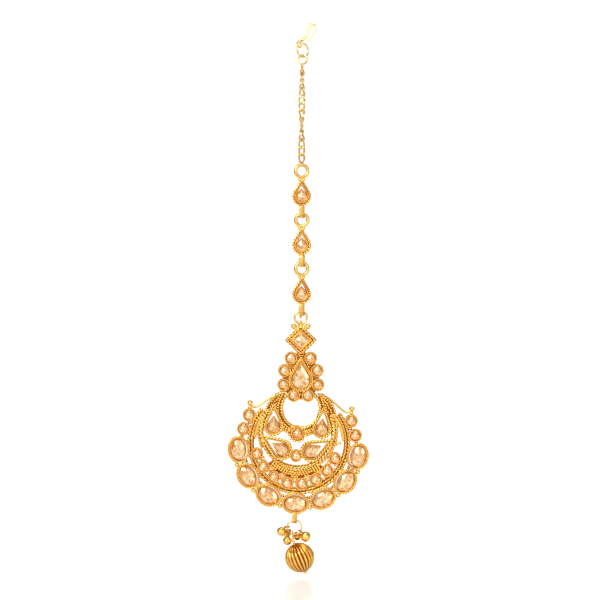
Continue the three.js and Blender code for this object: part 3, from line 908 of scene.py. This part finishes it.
class TIKKA_OT_horns(Builder):
    """Fills the two horns beside the window with rows of grains and twisted wire"""

    bl_idname = "tikka.horns"
    bl_label = "Horns"

    def build(self):
        places = pendant_places()
        fine = mm(metal().fine_grain)
        grain = ball(fine)
        for side, name in ((-1, "left"), (1, "right")):
            form = Form(crescent_frame())
            form.add(self.backing(side, setting_matrix(f"upper_teardrop_stone_{name}")))
            flipped = crescent_frame() @ Matrix.Diagonal((side, 1, 1, 1))
            taken = []
            for row in range(HORN_ROWS + 1):
                share = row / HORN_ROWS
                for t in np.linspace(0, 1, 90):
                    x, z = (1 - share) * horn_rim(t) + share * horn_edge(t)
                    close = any((x - u) ** 2 + (z - v) ** 2 < (1.8 * fine) ** 2 for u, v in taken)
                    if not close and free_of_settings(side * x, z, fine, places):
                        taken.append((x, z))
                        form.add(grain, flipped @ Matrix.Translation((x, -0.12, z)))
            rim = [(side * x, -0.35, z) for x, z in (horn_edge(t) for t in np.linspace(0, 1, 40))]
            form.add(rope(rim, 0.38, FINE_TWIST))
            pendant_gold(form, f"horn_{name}")

    def backing(self, side, tear):
        """The plate under the grains, cut around the teardrop's opening."""
        outline = [horn_edge(t) for t in np.linspace(0, 1, 20)] + [np.array(p) for p in HORN_FOOT]
        bm = bmesh.new()
        face = bm.faces.new([bm.verts.new((side * x, HORN_PLATE, z)) for x, z in outline])
        face.normal_update()
        if face.normal.y < 0:
            face.normal_flip()
        bmesh.ops.triangulate(bm, faces=[face])
        for cuts in (3, 1):
            bmesh.ops.subdivide_edges(bm, edges=bm.edges[:], cuts=cuts, use_grid_fill=True)
        local = tear.inverted() @ crescent_frame()
        gone = [f for f in bm.faces if self.opened(local @ f.calc_center_median())]
        bmesh.ops.delete(bm, geom=gone, context="FACES")
        bmesh.ops.solidify(bm, geom=bm.faces[:], thickness=-0.6)
        # Painted shade: the front face, down among the grains, is dark, the back lighter.
        return solid_of(bm, lambda place, normal: 0.95 if normal.y < 0 else 0.35)

    def opened(self, spot):
        """True inside the teardrop's opening: a line sideways from there crosses it an odd number of times."""
        outline = UPPER_TEAR["opening"](0.15, FINE)
        crossings = 0
        for (ax, az), (bx, bz) in zip(outline, np.roll(outline, -1, axis=0)):
            if (az > spot.z) != (bz > spot.z) and spot.x < ax + (spot.z - az) * (bx - ax) / (bz - az):
                crossings += 1
        return crossings % 2 == 1


TWIST = 1.15         # from strand to strand along a coarse rope
INNER_SIDE_ROPES = (   # outside the inner border: how far, from, to, points, radius, twist
    (0.95, 35, 112, 90, 0.46, 1.0), (0.85, -112, -62, 60, 0.4, 0.9),
)
STRIP_END = 51       # degrees that the strip of grains reaches to each side
STRIP_ROWS = ((-1.36, 0.5), (-0.68, 0), (0.0, 0.5), (0.68, 0), (1.36, 0.5))   # from its arc, shift in steps


class TIKKA_OT_borders(Builder):
    """Lays the twisted borders, the rim of the window, the side strips and the rows of grains"""

    bl_idname = "tikka.borders"
    bl_label = "Borders"

    def build(self):
        p, m = arcs(), metal()
        below, shift = -mm(p.arcs_below), -mm(p.inner_shift)
        thick, grain, border = mm(m.rope), mm(m.grain), mm(p.border)
        matrix = crescent_frame()
        form = Form(matrix)
        form.add(band(border, 2.1, -129, 129, BACK - 0.06, 0.25, z=below, recess=0.95))
        form.add(rope(arc(border + 0.55, -129, 129, -0.1, z=below, count=200), thick, TWIST))
        form.add(rope(arc(border - 0.35, -128, 128, -0.05, z=below, count=200), 0.36, FINE_TWIST))
        pendant_gold(form, "outer_border")

        form = Form(matrix)
        reach, low = mm(p.inner_rope), -mm(p.inner_below)
        form.add(band(reach, 0.85, -117, 117, BACK - 0.08, 0.2, shift, low, 0.95))
        form.add(rope(arc(reach, -118, 118, -0.2, shift, low, 200), thick, TWIST, swell=0.8))
        form.add(wire(arc(reach - 0.6, -116, 116, 0.1, shift, low, 120), 0.22, step=0.6))
        for offset, start, end, count, radius, twist in INNER_SIDE_ROPES:
            form.add(rope(arc(reach + offset, start, end, -0.05, shift, low, count), radius, twist))
        pendant_gold(form, "inner_border")

        form = Form(matrix)
        row = mm(p.grain_arc)
        form.add(band(row - 0.2, 2.4, -STRIP_END, STRIP_END, BACK - 0.1, 0.35, shift, below, 1.0))
        places = pendant_places()
        small = ball(grain)
        for offset, turned in STRIP_ROWS:
            radius = row + offset
            step = math.degrees(1.9 * grain / radius)
            count = int(STRIP_END / step)
            for i in range(-count, count + 1):
                turn = math.radians((i + turned) * step)
                x, z = shift + radius * math.sin(turn), below - radius * math.cos(turn)
                if abs(math.degrees(turn)) < STRIP_END and free_of_settings(x, z, 0.8 * grain, places):
                    form.put(small, x, -0.05, z)
        pendant_gold(form, "grain_strip")

        form = Form(matrix)
        window = mm(p.window)
        for start in (-180, 0):
            form.add(band(window + 0.5, 0.95, start, start + 180, BACK - 0.04, 0.1, recess=0.9))
        form.add(rope(arc(window + 0.55, 0, 360, -0.22, count=181)[:-1], 0.45, FINE_TWIST, closed=True))
        form.add(wire(arc(window + 0.16, 0, 360, -0.1, count=121)[:-1], 0.17, closed=True, step=0.5))
        pendant_gold(form, "window_rim")

        form = Form(matrix)
        for start, end in ((97, 133), (-133, -97)):
            path = arc(mm(p.strip), start, end, 0.1, z=below, count=40)
            form.add(swept(path, strip_section(1.05, 1.4), 0.6, ends=0.4))
        pendant_gold(form, "side_strips")


OVAL_BALLS = (      # between neighbouring ovals: ball's radius, its distance, degrees aside, depth
    (0.74, 19.75, 0, -0.1), (0.5, 18.9, -2.5, 0.0), (0.5, 18.9, 2.5, 0.0),
    (0.55, 17.9, 0, 0.1), (0.5, 16.6, 0, 0.2),
)
ROUND_BALLS = (     # between the round stones of the row: beyond their arc, degrees aside
    (-1.5, 2.2), (-1.5, -2.2), (-0.7, 0), (1.0, 2.0), (1.0, -2.0),
)
END_BALLS = (       # beyond the ends of the row: x and z
    (-13.9, -8.8), (-13.1, -9.5), (-14.2, -9.8), (-13.4, -8.0), (11.1, -9.3),
    (10.6, -10.1), (11.6, -10.1), (12.3, -9.6), (-10.9, -9.6), (-11.4, -10.4),
)
SIDE_BALLS = (      # at the right, and mirrored at the left: ball's radius, x, depth, z, rings
    (0.86, 15.3, 0.0, 0.75, 10), (0.6, 15.3, 0.1, -0.5, 8), (0.62, 15.1, 0.2, -5.0, 8),
    (0.5, 14.4, 0.2, -4.7, 8), (0.62, 17.2, 0.2, -9.5, 8),
)
TOP_WIRE = ((6.0, 0.2, 4.7), (9.3, 0.2, 2.7), (12.8, 0.1, 0.0), (14.4, 0.0, -0.3), (15.3, 0.0, 0.5))


class TIKKA_OT_grains(Builder):
    """Sets the single balls: between the ovals, on the wires' ends, around the middle stone"""

    bl_idname = "tikka.grains"
    bl_label = "Balls"

    def build(self):
        p = arcs()
        matrix = crescent_frame()
        below, shift = -mm(p.arcs_below), -mm(p.inner_shift)
        grain = mm(metal().grain)

        def on_arc(radius, degrees):
            turn = math.radians(degrees)
            return radius * math.sin(turn), below - radius * math.cos(turn)

        form = Form(matrix)
        for i in range(-3, 3):
            for radius, distance, aside, depth in OVAL_BALLS:
                x, z = on_arc(distance, (i + 0.5) * OVAL_STEP + aside)
                form.put(ball(radius, 8), x, depth, z)
        pendant_gold(form, "oval_row_balls")

        form = Form(matrix)
        for i in range(-3, 4):
            for beyond, aside in ROUND_BALLS:
                x, z = on_arc(mm(p.round_arc) + beyond, i * ROUND_STEP + aside)
                form.put(ball(grain, 8), x + shift, 0.0, z)
        for x, z in END_BALLS:
            form.put(ball(0.5, 8), x, 0.1, z)
        form.put(hoop(2.2, 0.3, 32, 8), shift, 0.3, MIDDLE_STONE)
        for i in range(12):
            turn = math.radians(15 + 30 * i)
            if math.cos(turn) < 0.8:
                x, z = shift + 2.45 * math.sin(turn), MIDDLE_STONE + 2.45 * math.cos(turn)
                form.put(ball(0.52, 8), x, -0.15, z)
        pendant_gold(form, "round_row_balls")

        form = Form(matrix)
        window = mm(p.window)
        places = pendant_places()
        for start, end in ((-48, -10), (4, 40)):
            form.add(band(window + 2.15, 2.3, start, end, BACK - 0.12, 0.3, recess=1.0))
            for line in range(3):
                radius = window + 1.5 + 0.7 * line
                step = math.degrees(1.9 * grain / radius)
                for i in range(int((end - start) / step) + 1):
                    turn = math.radians(start + (i + 0.5 * (line % 2)) * step)
                    x, z = radius * math.sin(turn), -radius * math.cos(turn)
                    if free_of_settings(x, z, 0.8 * grain, places):
                        form.put(ball(grain, 8), x, -0.1, z)
        pendant_gold(form, "middle_filling")

        form = Form(matrix)
        for side in (-1, 1):
            for radius, x, depth, z, rings in SIDE_BALLS:
                form.put(ball(radius, rings), side * x, depth, z)
            form.add(wire(curve([(side * x, y, z) for x, y, z in TOP_WIRE]), 0.34))
        pendant_gold(form, "top_wires")


CLUSTER_PLATE = ((0, 17.6), (3.2, 15.6), (5.4, 11.6), (5.4, 6.4), (3.2, 3.4), (0, 2.6))   # x and z
CLUSTER_REACH = ((3.0, 6.4, 11.6, 15.6, 17.6), (3.0, 5.3, 5.3, 3.1, 0.3))   # heights, half widths of grains
NECK_BALLS = (   # x, radius, z
    (-2.1, 0.85, 24.6), (2.1, 0.85, 24.6), (-0.9, 0.62, 24.35), (0.9, 0.62, 24.35),
    (0.0, 0.72, 24.95), (-1.4, 0.45, 23.9), (1.4, 0.45, 23.9),
)


class TIKKA_OT_crown(Builder):
    """Builds the upright part: plate of the cluster, shoulder of the kite, neck and ring"""

    bl_idname = "tikka.crown"
    bl_label = "Crown"

    def build(self):
        matrix = Matrix.Translation(window_centre())
        grain = mm(metal().grain)
        form = Form(matrix)
        left = [(-x, z) for x, z in reversed(CLUSTER_PLATE[1:-1])]
        form.add(plate(list(CLUSTER_PLATE) + left, BACK - 0.14, 0.3, recess=0.7))
        places = pendant_places()
        local = matrix.inverted() @ crescent_frame()
        small = ball(grain)
        for row in range(40):
            for column in range(-16, 17):
                x = (column + 0.5 * (row % 2)) * 1.9 * grain
                z = 2.9 + row * 1.62 * grain
                spot = local.inverted() @ Vector((x, 0, z))
                inside = abs(x) < np.interp(z, *CLUSTER_REACH)
                if inside and free_of_settings(spot.x, spot.z, 0.45 * grain, places):
                    form.put(small, x, 0.05, z)
        pendant_gold(form, "cluster_plate")

        form = Form(setting_matrix("diamond_stone"))
        shoulder = KITE["opening"]
        form.add(plate(shoulder(1.35, FINE), BACK - 0.07, 0.1, recess=0.95))
        form.add(rope(standing(softened(shoulder(1.0, SMOOTH), 3), -0.25), 0.52, TWIST, closed=True))
        pendant_gold(form, "kite_shoulder")

        form = Form(matrix)
        for x, radius, z in NECK_BALLS:
            form.put(ball(radius, 10), x, 0, z)
        pendant_gold(form, "neck_balls")

        pendant_gold(Form(matrix).put(hoop(1.85, 0.33, 56, 12), 0, 0, 27.24), "pendant_ring")

        form = Form(crescent_frame())
        form.add(bail(-30.9, -34.5))
        form.add(hoop(0.92, 0.24, 32, 8), crescent_frame()
                 @ Matrix.Translation((0, 0.0, -31.35)) @ Matrix.Rotation(math.pi / 2, 4, "X"))
        pendant_gold(form, "drop_bail")


BAIL_BEND = 1.0      # radius of a bail's bends
BAIL_END = 1.12      # from a bail's end to the centre of its bend
BAIL_THICK = 0.28
BAIL_WIDTH = 1.6


def bail(top, bottom):
    """A strip bent into a closed loop in the plane across the pendant."""
    low, high = bottom + BAIL_END, top - BAIL_END
    turns = np.linspace(math.pi, 2 * math.pi, 12)
    foot = [(0, BAIL_BEND * math.cos(t), low + BAIL_BEND * math.sin(t)) for t in turns]
    head = [(0, -y, high + low - z) for _, y, z in foot]
    section = strip_section(BAIL_THICK, BAIL_WIDTH)
    return swept(foot + head, section, 0.35, closed=True, up=Vector((1, 0, 0)))


LINK_DROP = -7.6                # a link's stone lies this far below its ring
LINK_TURNS = (5, -7, 4)         # degrees that the links have turned about the plumb line
LINK_RING = (1.83, 0.47)        # radius of a link's ring and of its wire
LINK_EDGE = (                   # around a link's frame: out from its opening, depth, painted shade
    (0.35, BACK, 0.3), (0.95, BACK, 0.3), (1.08, BACK - 0.15, 0.3), (1.08, -0.1, 0.3),
    (0.95, -0.2, 0.4), (0.35, -0.2, 0.6),
)


def link_frame(i):
    low, high = (mm(corner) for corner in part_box(f"teardrop_link_{i}"))
    top = Vector(((low.x + high.x) / 2, 0, high.z - sum(LINK_RING)))
    return Matrix.Translation(top) @ Matrix.Rotation(math.radians(LINK_TURNS[i - 1]), 4, "Z")


class TIKKA_OT_links(Builder):
    """Builds the three teardrop links with ring, frame and bail"""

    bl_idname = "tikka.links"
    bl_label = "Links"

    def build(self):
        ring = hoop(LINK_RING[0], LINK_RING[1] + 0.06, 56, 14)
        outer = LINK["opening"]
        rim = standing(softened(outer(0.88, SMOOTH), 4), -0.28)
        edge = [standing(softened(outer(grow, FINE), 2), depth) for grow, depth, _ in LINK_EDGE]
        around_stone = [lofted(edge, [deep for *_, deep in LINK_EDGE], closed=True)]
        around_stone += [rope(rim, 0.34, FINE_TWIST, closed=True), *setting(LINK)]
        for i in range(1, 4):
            form = Form(link_frame(i)).add(ring)
            for solid in around_stone:
                form.put(solid, 0, 0, LINK_DROP)
            form.add(bail(-10.05, -14.1))
            for x, z in ((-0.62, -2.6), (0.62, -2.6), (0.0, -2.5)):
                form.put(ball(0.46, 8), x, -0.25, z)
            form.piece(f"link_{i}_gold", "holder", [f"teardrop_link_{i}"], gold(), "gold")


CHAIN_TURNS = ((12, 16, 22, 30, 37, 42), (60, 88, 10, -82, -180, -195))   # millimetres down, degrees turned
CHAIN_PLACE = ((12, 27, 42), (-2.8, -3.0, -3.0))                          # millimetres down, x


class TIKKA_OT_chain(Builder):
    """Hangs the curb chain link by link, turning slowly about the plumb line"""

    bl_idname = "tikka.chain"
    bl_label = "Curb chain"

    def build(self):
        m = metal()
        radius, pitch, width = mm(m.chain_wire), mm(m.chain_pitch), mm(m.chain_width)
        low, high = (mm(corner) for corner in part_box("curb_chain"))
        half_width, half_length = width / 2 - radius, pitch / 2 + radius
        turns = np.linspace(0, 2 * math.pi, 33)[:-1]
        path = np.stack([
            half_width * np.cos(turns), 0.36 * np.sin(2 * turns), half_length * np.sin(turns)], axis=1)
        link = swept(path, wire_section(radius, 8), 0.22, closed=True)
        top, foot = high.z + 0.3, low.z - 0.35
        count = int(round((top - foot - 2 * radius) / pitch))
        spacing = (top - foot - 2 * half_length - 2 * radius) / (count - 1)
        form = Form()
        for i in range(count):
            z = top - half_length - radius - i * spacing
            turn, x = np.interp(-z, *CHAIN_TURNS), np.interp(-z, *CHAIN_PLACE)
            form.add(link, Matrix.Translation((x, 0, z)) @ Matrix.Rotation(math.radians(turn), 4, "Z"))
        form.piece("curb_chain_links", "holder", ["curb_chain"], pale_wire(), "gold")


def box_centre(node):
    low, high = (mm(corner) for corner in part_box(node))
    return (low + high) / 2


RINGS = {   # body, radius, degrees turned about the plumb line, degrees at which the wire is cut
    "hook_ring": ("holder", 2.05, 38, 200), "jump_ring": ("holder", 1.4, -25, 100),
    "drop_ring": ("pendant", 2.15, 0, 130),
}

class TIKKA_OT_rings(Builder):
    """Bends the wire rings, each with its cut"""

    bl_idname = "tikka.rings"
    bl_label = "Rings"

    def build(self):
        thick = mm(metal().fine_wire) + 0.05
        for node, (body, radius, turn, cut) in RINGS.items():
            path = arc(radius, cut + 3, cut + 357, 0, count=80)
            matrix = Matrix.Translation(box_centre(node)) @ Matrix.Rotation(math.radians(turn), 4, "Z")
            form = Form(matrix).add(wire(path, thick, step=0.3))
            form.piece(f"{node}_wire", body, [node], pale_wire(), "gold")


HOOK_BARS = (((-0.8, 0.1), (-1.85, -3.5), 1.2), ((-1.85, -3.5), (-3.0, -4.5), 1.15))   # start, end, width
TURNED_DOWN = (   # x and z of the wire
    (-0.7, -1.2), (0.1, -0.3), (0.8, 0.3), (1.15, -0.7), (0.95, -2.1), (0.25, -3.4), (-0.65, -4.3),
    (-1.1, -4.75), (-1.5, -5.2),
)
EYE = 0.92        # radius of the hook's eye
EYE_AT = 128      # degrees around the hook ring at which the eye holds it
BAR_OUTLINE = (   # across in half widths, depth, painted shade
    (-1, 0, 0.3), (-0.93, -0.16, 0.1), (-0.6, -0.24, 0), (-0.18, -0.22, 0.15), (0, -0.14, 0.6),
    (0.18, -0.22, 0.15), (0.6, -0.24, 0), (0.93, -0.16, 0.1), (1, 0, 0.3), (0.93, 0.2, 0.4),
    (0, 0.24, 0.4), (-0.93, 0.2, 0.4),
)


class TIKKA_OT_hook(Builder):
    """Shapes the hair hook: two pressed bars, the turned-down wire and the eye"""

    bl_idname = "tikka.hook"
    bl_label = "Hair hook"

    def build(self):
        fine = mm(metal().fine_wire)
        form = Form()
        for start, end, width in HOOK_BARS:
            form.add(self.bar(start, end, width))
        form.add(wire(curve([(x, 0, z) for x, z in TURNED_DOWN]), fine))
        ring = box_centre("hook_ring")
        _, radius, turned, _ = RINGS["hook_ring"]
        turn, turned = math.radians(EYE_AT), math.radians(turned)
        eye = Vector((
            ring.x + radius * math.cos(turn) * math.cos(turned),
            radius * math.cos(turn) * math.sin(turned), ring.z + radius * math.sin(turn),
        ))
        form.add(hoop(EYE, fine, 32), Matrix.Translation(eye) @ Matrix.Rotation(math.radians(-35), 4, "Z"))
        form.add(wire([(-3.0, 0, -4.5), (eye.x, eye.y, eye.z + EYE)], 0.38, step=0.2))
        form.piece("hair_hook_wire", "holder", ["hair_hook"], pale_wire(), "gold")

    def bar(self, start, end, width):
        """A pressed bar with a round end and a crease along its middle."""
        run = math.hypot(end[0] - start[0], end[1] - start[1])
        path = [(start[0] + (end[0] - start[0]) * t, 0, start[1] + (end[1] - start[1]) * t)
                for t in np.linspace(0, 1, 8)]
        half = width / 2
        rows = np.array(BAR_OUTLINE) * np.array([half, 1, 1])
        return swept(path, lambda at, whole: rows, run / 8, ends=half)


BEAD_LEAN = math.radians(-21.5)
BEAD_RADIUS = 4.44
BEAD_HOLE = 0.13       # radians from the bead's axis to the edge of its hole
FLUTES = 22
FLUTE_DEPTH = 0.1      # at the bead's waist, as a share of its radius


def turned_solid(bm, profile, steps):
    """Turns a line of corners about the vertical."""
    for a, b in zip(profile, profile[1:]):
        bm.edges.new((a, b))
    bmesh.ops.spin(
        bm, geom=bm.verts[:] + bm.edges[:], axis=(0, 0, 1), cent=(0, 0, 0), angle=2 * math.pi,
        steps=steps, use_merge=True,
    )


class TIKKA_OT_bead(Builder):
    """Turns the melon bead with its flutes, and the head pin through it"""

    bl_idname = "tikka.bead"
    bl_label = "Melon bead"

    def build(self):
        centre = box_centre("melon_bead")
        matrix = Matrix.Translation(centre) @ Matrix.Rotation(BEAD_LEAN, 4, "Y")
        form = Form(matrix).add(self.fluted())
        form.piece("melon_bead_fluted", "pendant", ["melon_bead"], pale_gold(), "pale_gold", 60)

        fine = mm(metal().fine_wire)
        form = Form()
        lean = Vector((math.sin(BEAD_LEAN), 0, math.cos(BEAD_LEAN)))
        neck = centre + lean * 5.6
        loop_z = centre.z + 7.1
        form.add(wire([tuple(centre - lean * 4.9), tuple(neck)], fine, step=0.5))
        form.add(wire([tuple(neck), (neck.x, 0, loop_z - 0.8)], fine, step=0.2))
        loop = Matrix.Translation((neck.x, 0, loop_z)) @ Matrix.Rotation(math.pi / 2, 4, "Z")
        form.add(hoop(0.8, fine, 28), loop)
        form.add(ball(0.34, 8), Matrix.Translation(neck))
        form.add(ball(0.52, 10), Matrix.Translation(centre - lean * 4.72))
        for i in range(6):
            turn = i * math.pi / 3
            spot = matrix @ Vector((0.62 * math.cos(turn), 0.62 * math.sin(turn), -4.42))
            form.add(ball(0.26), Matrix.Translation(spot))
        form.add(rope([tuple(centre + lean * t) for t in (4.35, 4.6, 4.9, 5.3)], 0.42, 0.35))
        form.piece("head_pin_wire", "pendant", ["head_pin"], gold(), "gold")

    def fluted(self):
        """The bead upright: a turned shell around its bore, pressed in along the grooves."""
        rows = 36
        turns = [BEAD_HOLE + (math.pi - 2 * BEAD_HOLE) * i / rows for i in range(rows + 1)]
        bm = bmesh.new()
        profile = [bm.verts.new((BEAD_RADIUS * math.sin(t), 0, BEAD_RADIUS * math.cos(t))) for t in turns]
        profile.append(bm.verts.new((0.5, 0, -BEAD_RADIUS * 0.8)))
        profile.insert(0, bm.verts.new((0.5, 0, BEAD_RADIUS * 0.8)))
        turned_solid(bm, profile + profile[:1], FLUTES * 8)
        grooves = []
        for v in bm.verts:
            polar = math.atan2(math.hypot(v.co.x, v.co.y), v.co.z)
            wave = abs(math.cos(0.5 * FLUTES * math.atan2(v.co.y, v.co.x)))
            grooves.append((1 - wave ** 1.2) if v.co.length > BEAD_RADIUS * 0.95 else 0.0)
            v.co *= 1 - FLUTE_DEPTH * math.sin(polar) ** 0.6 * grooves[-1]
        points, faces, _, flash = solid_of(bm)
        polar = np.arctan2(np.hypot(points[:, 0], points[:, 1]), np.abs(points[:, 2]))
        # Painted shade in the grooves and around the holes at the top and bottom.
        deep = np.array(grooves) * 1.5 + 0.9 * np.clip(0.8 - polar, 0, 1)
        return points, faces, np.clip(deep, 0, 1), flash


GHUNGROOS = (   # angle on the drop ring, radius, x, y and z of each small ball
    (-35, 1.6, -1.86, -0.2, -153.45), (-184, 1.4, -9.14, -0.2, -151.95), (-135, 1.38, -7.35, -0.4, -154.65),
    (-75, 1.35, -4.4, 2.1, -153.6), (-152, 1.35, -7.5, 2.75, -152.8),
)


class TIKKA_OT_ghungroos(Builder):
    """Makes the small balls on the drop ring, each with its eye and wound stem"""

    bl_idname = "tikka.ghungroos"
    bl_label = "Small balls"

    def build(self):
        ring, reach = box_centre("drop_ring"), RINGS["drop_ring"][1]
        for i, (turned, radius, x, y, z) in enumerate(GHUNGROOS, 1):
            turn = math.radians(turned)
            eye = Vector((ring.x + reach * math.cos(turn), 0, ring.z + reach * math.sin(turn)))
            centre = Vector((x, y, z))
            away = (x - eye.x) * math.cos(turn) + (z - eye.z) * math.sin(turn)
            start = Vector((away * math.cos(turn), y, away * math.sin(turn))).normalized() * 0.62
            form = Form()
            across = Matrix.Rotation(-turn, 4, "Y") @ Matrix.Rotation(math.pi / 2, 4, "X")
            # Painted shade darkens the eye and the wound stem.
            form.add(darkened(hoop(0.64, 0.23, 24, 8), 0.4), Matrix.Translation(eye) @ across)
            stem = rope([tuple(eye + start * 0.9), tuple((eye + start + centre) / 2), tuple(centre)], 0.38, 0.4)
            form.add(darkened(stem, 0.35))
            down = (centre - eye - start).normalized()
            upright = down.to_track_quat("Z", "Y").to_matrix().to_4x4()
            form.add(self.shell(radius), Matrix.Translation(centre) @ upright)
            form.piece(f"ghungroo_{i}_shell", "pendant", [f"ghungroo_{i}"], pale_gold(), "pale_gold", 50)

    def shell(self, radius):
        """A ball of two pressed halves with the seam between them, with painted shade along the seam, on the
        lower part and on the side away from the viewer.
        """
        bm = bmesh.new()
        profile = []
        for i in range(19):
            turn = math.pi * i / 18
            swell = 1 + 0.03 * math.exp(-((turn - math.pi / 2) / 0.07) ** 2)
            profile.append(bm.verts.new((radius * swell * math.sin(turn), 0, radius * math.cos(turn))))
        turned_solid(bm, profile, 32)
        bmesh.ops.remove_doubles(bm, verts=bm.verts[:], dist=1e-4)
        return solid_of(bm, lambda place, normal: 0.55 * max(0.0, -place.z / radius - 0.55)
                        + 0.45 * math.exp(-((place.z + 0.08 * radius) / (0.06 * radius)) ** 2)
                        + 0.3 * max(0.0, normal.y))


SURROUND = (0.42, 0.37, 0.28)   # the colour of the room around the floor
LAMPS = (                       # name, place from the object's middle, width, height, watts
    ("key", (-0.22, -0.42, 0.24), 0.18, 0.26, 1.5), ("front", (0.0, -0.62, 0.1), 0.8, 0.9, 1.25),
    ("fill", (0.34, -0.34, 0.05), 0.1, 0.4, 0.35), ("top", (0.05, -0.05, 0.42), 0.3, 0.2, 0.5),
)
SENSOR = 36                     # millimetres across the camera's picture
FLOOR_REACH = 0.9               # to the left, right and front
FLOOR_BACK = 0.62               # where the floor begins to curve up
FLOOR_BEND = 0.2                # radius of the curve
WALL_TOP = (0.82, 0.42)         # depth and height of the backdrop's upper edge


class TIKKA_OT_stage(Builder):
    """Sets the pale floor, the backdrop, the soft lights and the camera"""

    bl_idname = "tikka.stage"
    bl_label = "Studio"

    def build(self):
        studio = bpy.context.scene.tikka_studio
        low, high = (Vector(corner) for corner in cad_box)
        middle = (low + high) / 2
        floor = low.z - studio.floor_gap
        self.sweep(floor, studio)
        scene = bpy.context.scene
        world = bpy.data.worlds.new("studio")
        world.use_nodes = True
        world.node_tree.nodes["Background"].inputs[0].default_value = (*SURROUND, 1)
        world.node_tree.nodes["Background"].inputs[1].default_value = 1.0
        scene.world = world
        for lamp in LAMPS:
            self.lamp(middle, *lamp)
        distance = studio.view_height * studio.lens / SENSOR
        camera = bpy.data.cameras.new("camera")
        camera.lens = studio.lens
        camera.clip_start = 0.01
        holder = bpy.data.objects.new("camera", camera)
        holder.location = (studio.aim[0], studio.aim[1] - distance, studio.aim[2])
        holder.rotation_euler = (math.pi / 2, 0, 0)
        scene.collection.objects.link(holder)
        scene.camera = holder
        scene.view_settings.view_transform = "Standard"

    def lamp(self, middle, name, offset, width, height, power):
        light = bpy.data.lights.new(name, "AREA")
        light.shape = "RECTANGLE"
        light.size, light.size_y = width, height
        light.energy = power
        obj = bpy.data.objects.new(name, light)
        obj.location = middle + Vector(offset)
        obj.rotation_euler = (middle - obj.location).to_track_quat("-Z", "Y").to_euler()
        bpy.context.scene.collection.objects.link(obj)

    def sweep(self, floor, studio):
        """A floor that curves up into the backdrop. It glows by its own emission, with a painted pool of light:
        brightest toward the back and the middle, fading to the room's colour toward the front and the sides.
        """
        line = [(-FLOOR_REACH, 0.0), (FLOOR_BACK, 0.0)]
        for i in range(1, 13):
            turn = math.radians(90 * i / 12)
            line.append((FLOOR_BACK + FLOOR_BEND * math.sin(turn), FLOOR_BEND - FLOOR_BEND * math.cos(turn)))
        line.append(WALL_TOP)
        bm = bmesh.new()
        edge = [bm.verts.new((-FLOOR_REACH, y, floor + z)) for y, z in line]
        made = bmesh.ops.extrude_edge_only(bm, edges=[bm.edges.new(pair) for pair in zip(edge, edge[1:])])
        moved = [v for v in made["geom"] if isinstance(v, bmesh.types.BMVert)]
        bmesh.ops.translate(bm, verts=moved, vec=(2 * FLOOR_REACH, 0, 0))
        mesh = bpy.data.meshes.new("sweep")
        bm.to_mesh(mesh)
        bm.free()
        mesh.polygons.foreach_set("use_smooth", [True] * len(mesh.polygons))
        graph = Graph("pale_floor")
        cloud = graph.noise(0.02, 2.0)
        away = graph.add("ShaderNodeSeparateXYZ", "Y", Vector=graph.place(1 / 70))
        # Painted pool of light in the emission: darker toward the front, and fading to the room's colour toward
        # the front and sides.
        bright = graph.mix((away + cloud * 0.05).held(), [0.74 * c for c in studio.pale], studio.pale)
        wide = graph.place(1 / 200)
        ahead = (graph.add("ShaderNodeSeparateXYZ", "Y", Vector=wide) + 1.25).held()
        across = graph.maths("ABSOLUTE", graph.add("ShaderNodeSeparateXYZ", "X", Vector=wide), 0.0)
        lit = ahead * (2.4 - across).held()
        glow = graph.mix(lit, SURROUND, bright)
        mesh.materials.append(graph.finish(
            Base_Color=[0.1 * c for c in studio.pale], Roughness=cloud * 0.06 + 0.13, Emission_Color=glow,
            Emission_Strength=1.0, Specular_IOR_Level=0.5,
        ))
        obj = bpy.data.objects.new("sweep", mesh)
        bpy.context.scene.collection.objects.link(obj)


OPERATORS = (
    TIKKA_OT_stones, TIKKA_OT_settings, TIKKA_OT_horns, TIKKA_OT_borders, TIKKA_OT_grains, TIKKA_OT_crown,
    TIKKA_OT_links, TIKKA_OT_chain, TIKKA_OT_rings, TIKKA_OT_hook, TIKKA_OT_bead, TIKKA_OT_ghungroos,
    TIKKA_OT_stage,
)


class TIKKA_PT_panel(bpy.types.Panel):
    """Lists the steps of the build and their sizes"""

    bl_label = "Maang tikka"
    bl_idname = "TIKKA_PT_panel"
    bl_space_type = "VIEW_3D"
    bl_region_type = "UI"
    bl_category = "Tikka"

    def draw(self, context):
        for operator in OPERATORS:
            self.layout.operator(operator.bl_idname)
        for owner, group in GROUPS.items():
            for name in group.__annotations__:
                self.layout.prop(getattr(context.scene, owner), name)


GROUPS = {
    "tikka_metal": TikkaMetal, "tikka_stones": TikkaStones, "tikka_pendant": TikkaPendant,
    "tikka_studio": TikkaStudio,
}


def register():
    for group in GROUPS.values():
        bpy.utils.register_class(group)
    for operator in OPERATORS:
        bpy.utils.register_class(operator)
    bpy.utils.register_class(TIKKA_PT_panel)
    for name, group in GROUPS.items():
        setattr(bpy.types.Scene, name, bpy.props.PointerProperty(type=group))


def unregister():
    for name in GROUPS:
        delattr(bpy.types.Scene, name)
    bpy.utils.unregister_class(TIKKA_PT_panel)
    for operator in reversed(OPERATORS):
        bpy.utils.unregister_class(operator)
    for group in reversed(GROUPS.values()):
        bpy.utils.unregister_class(group)


def main():
    register()
    for operator in OPERATORS:
        group, name = operator.bl_idname.split(".")
        getattr(getattr(bpy.ops, group), name)()


if __name__ == "__main__":
    main()
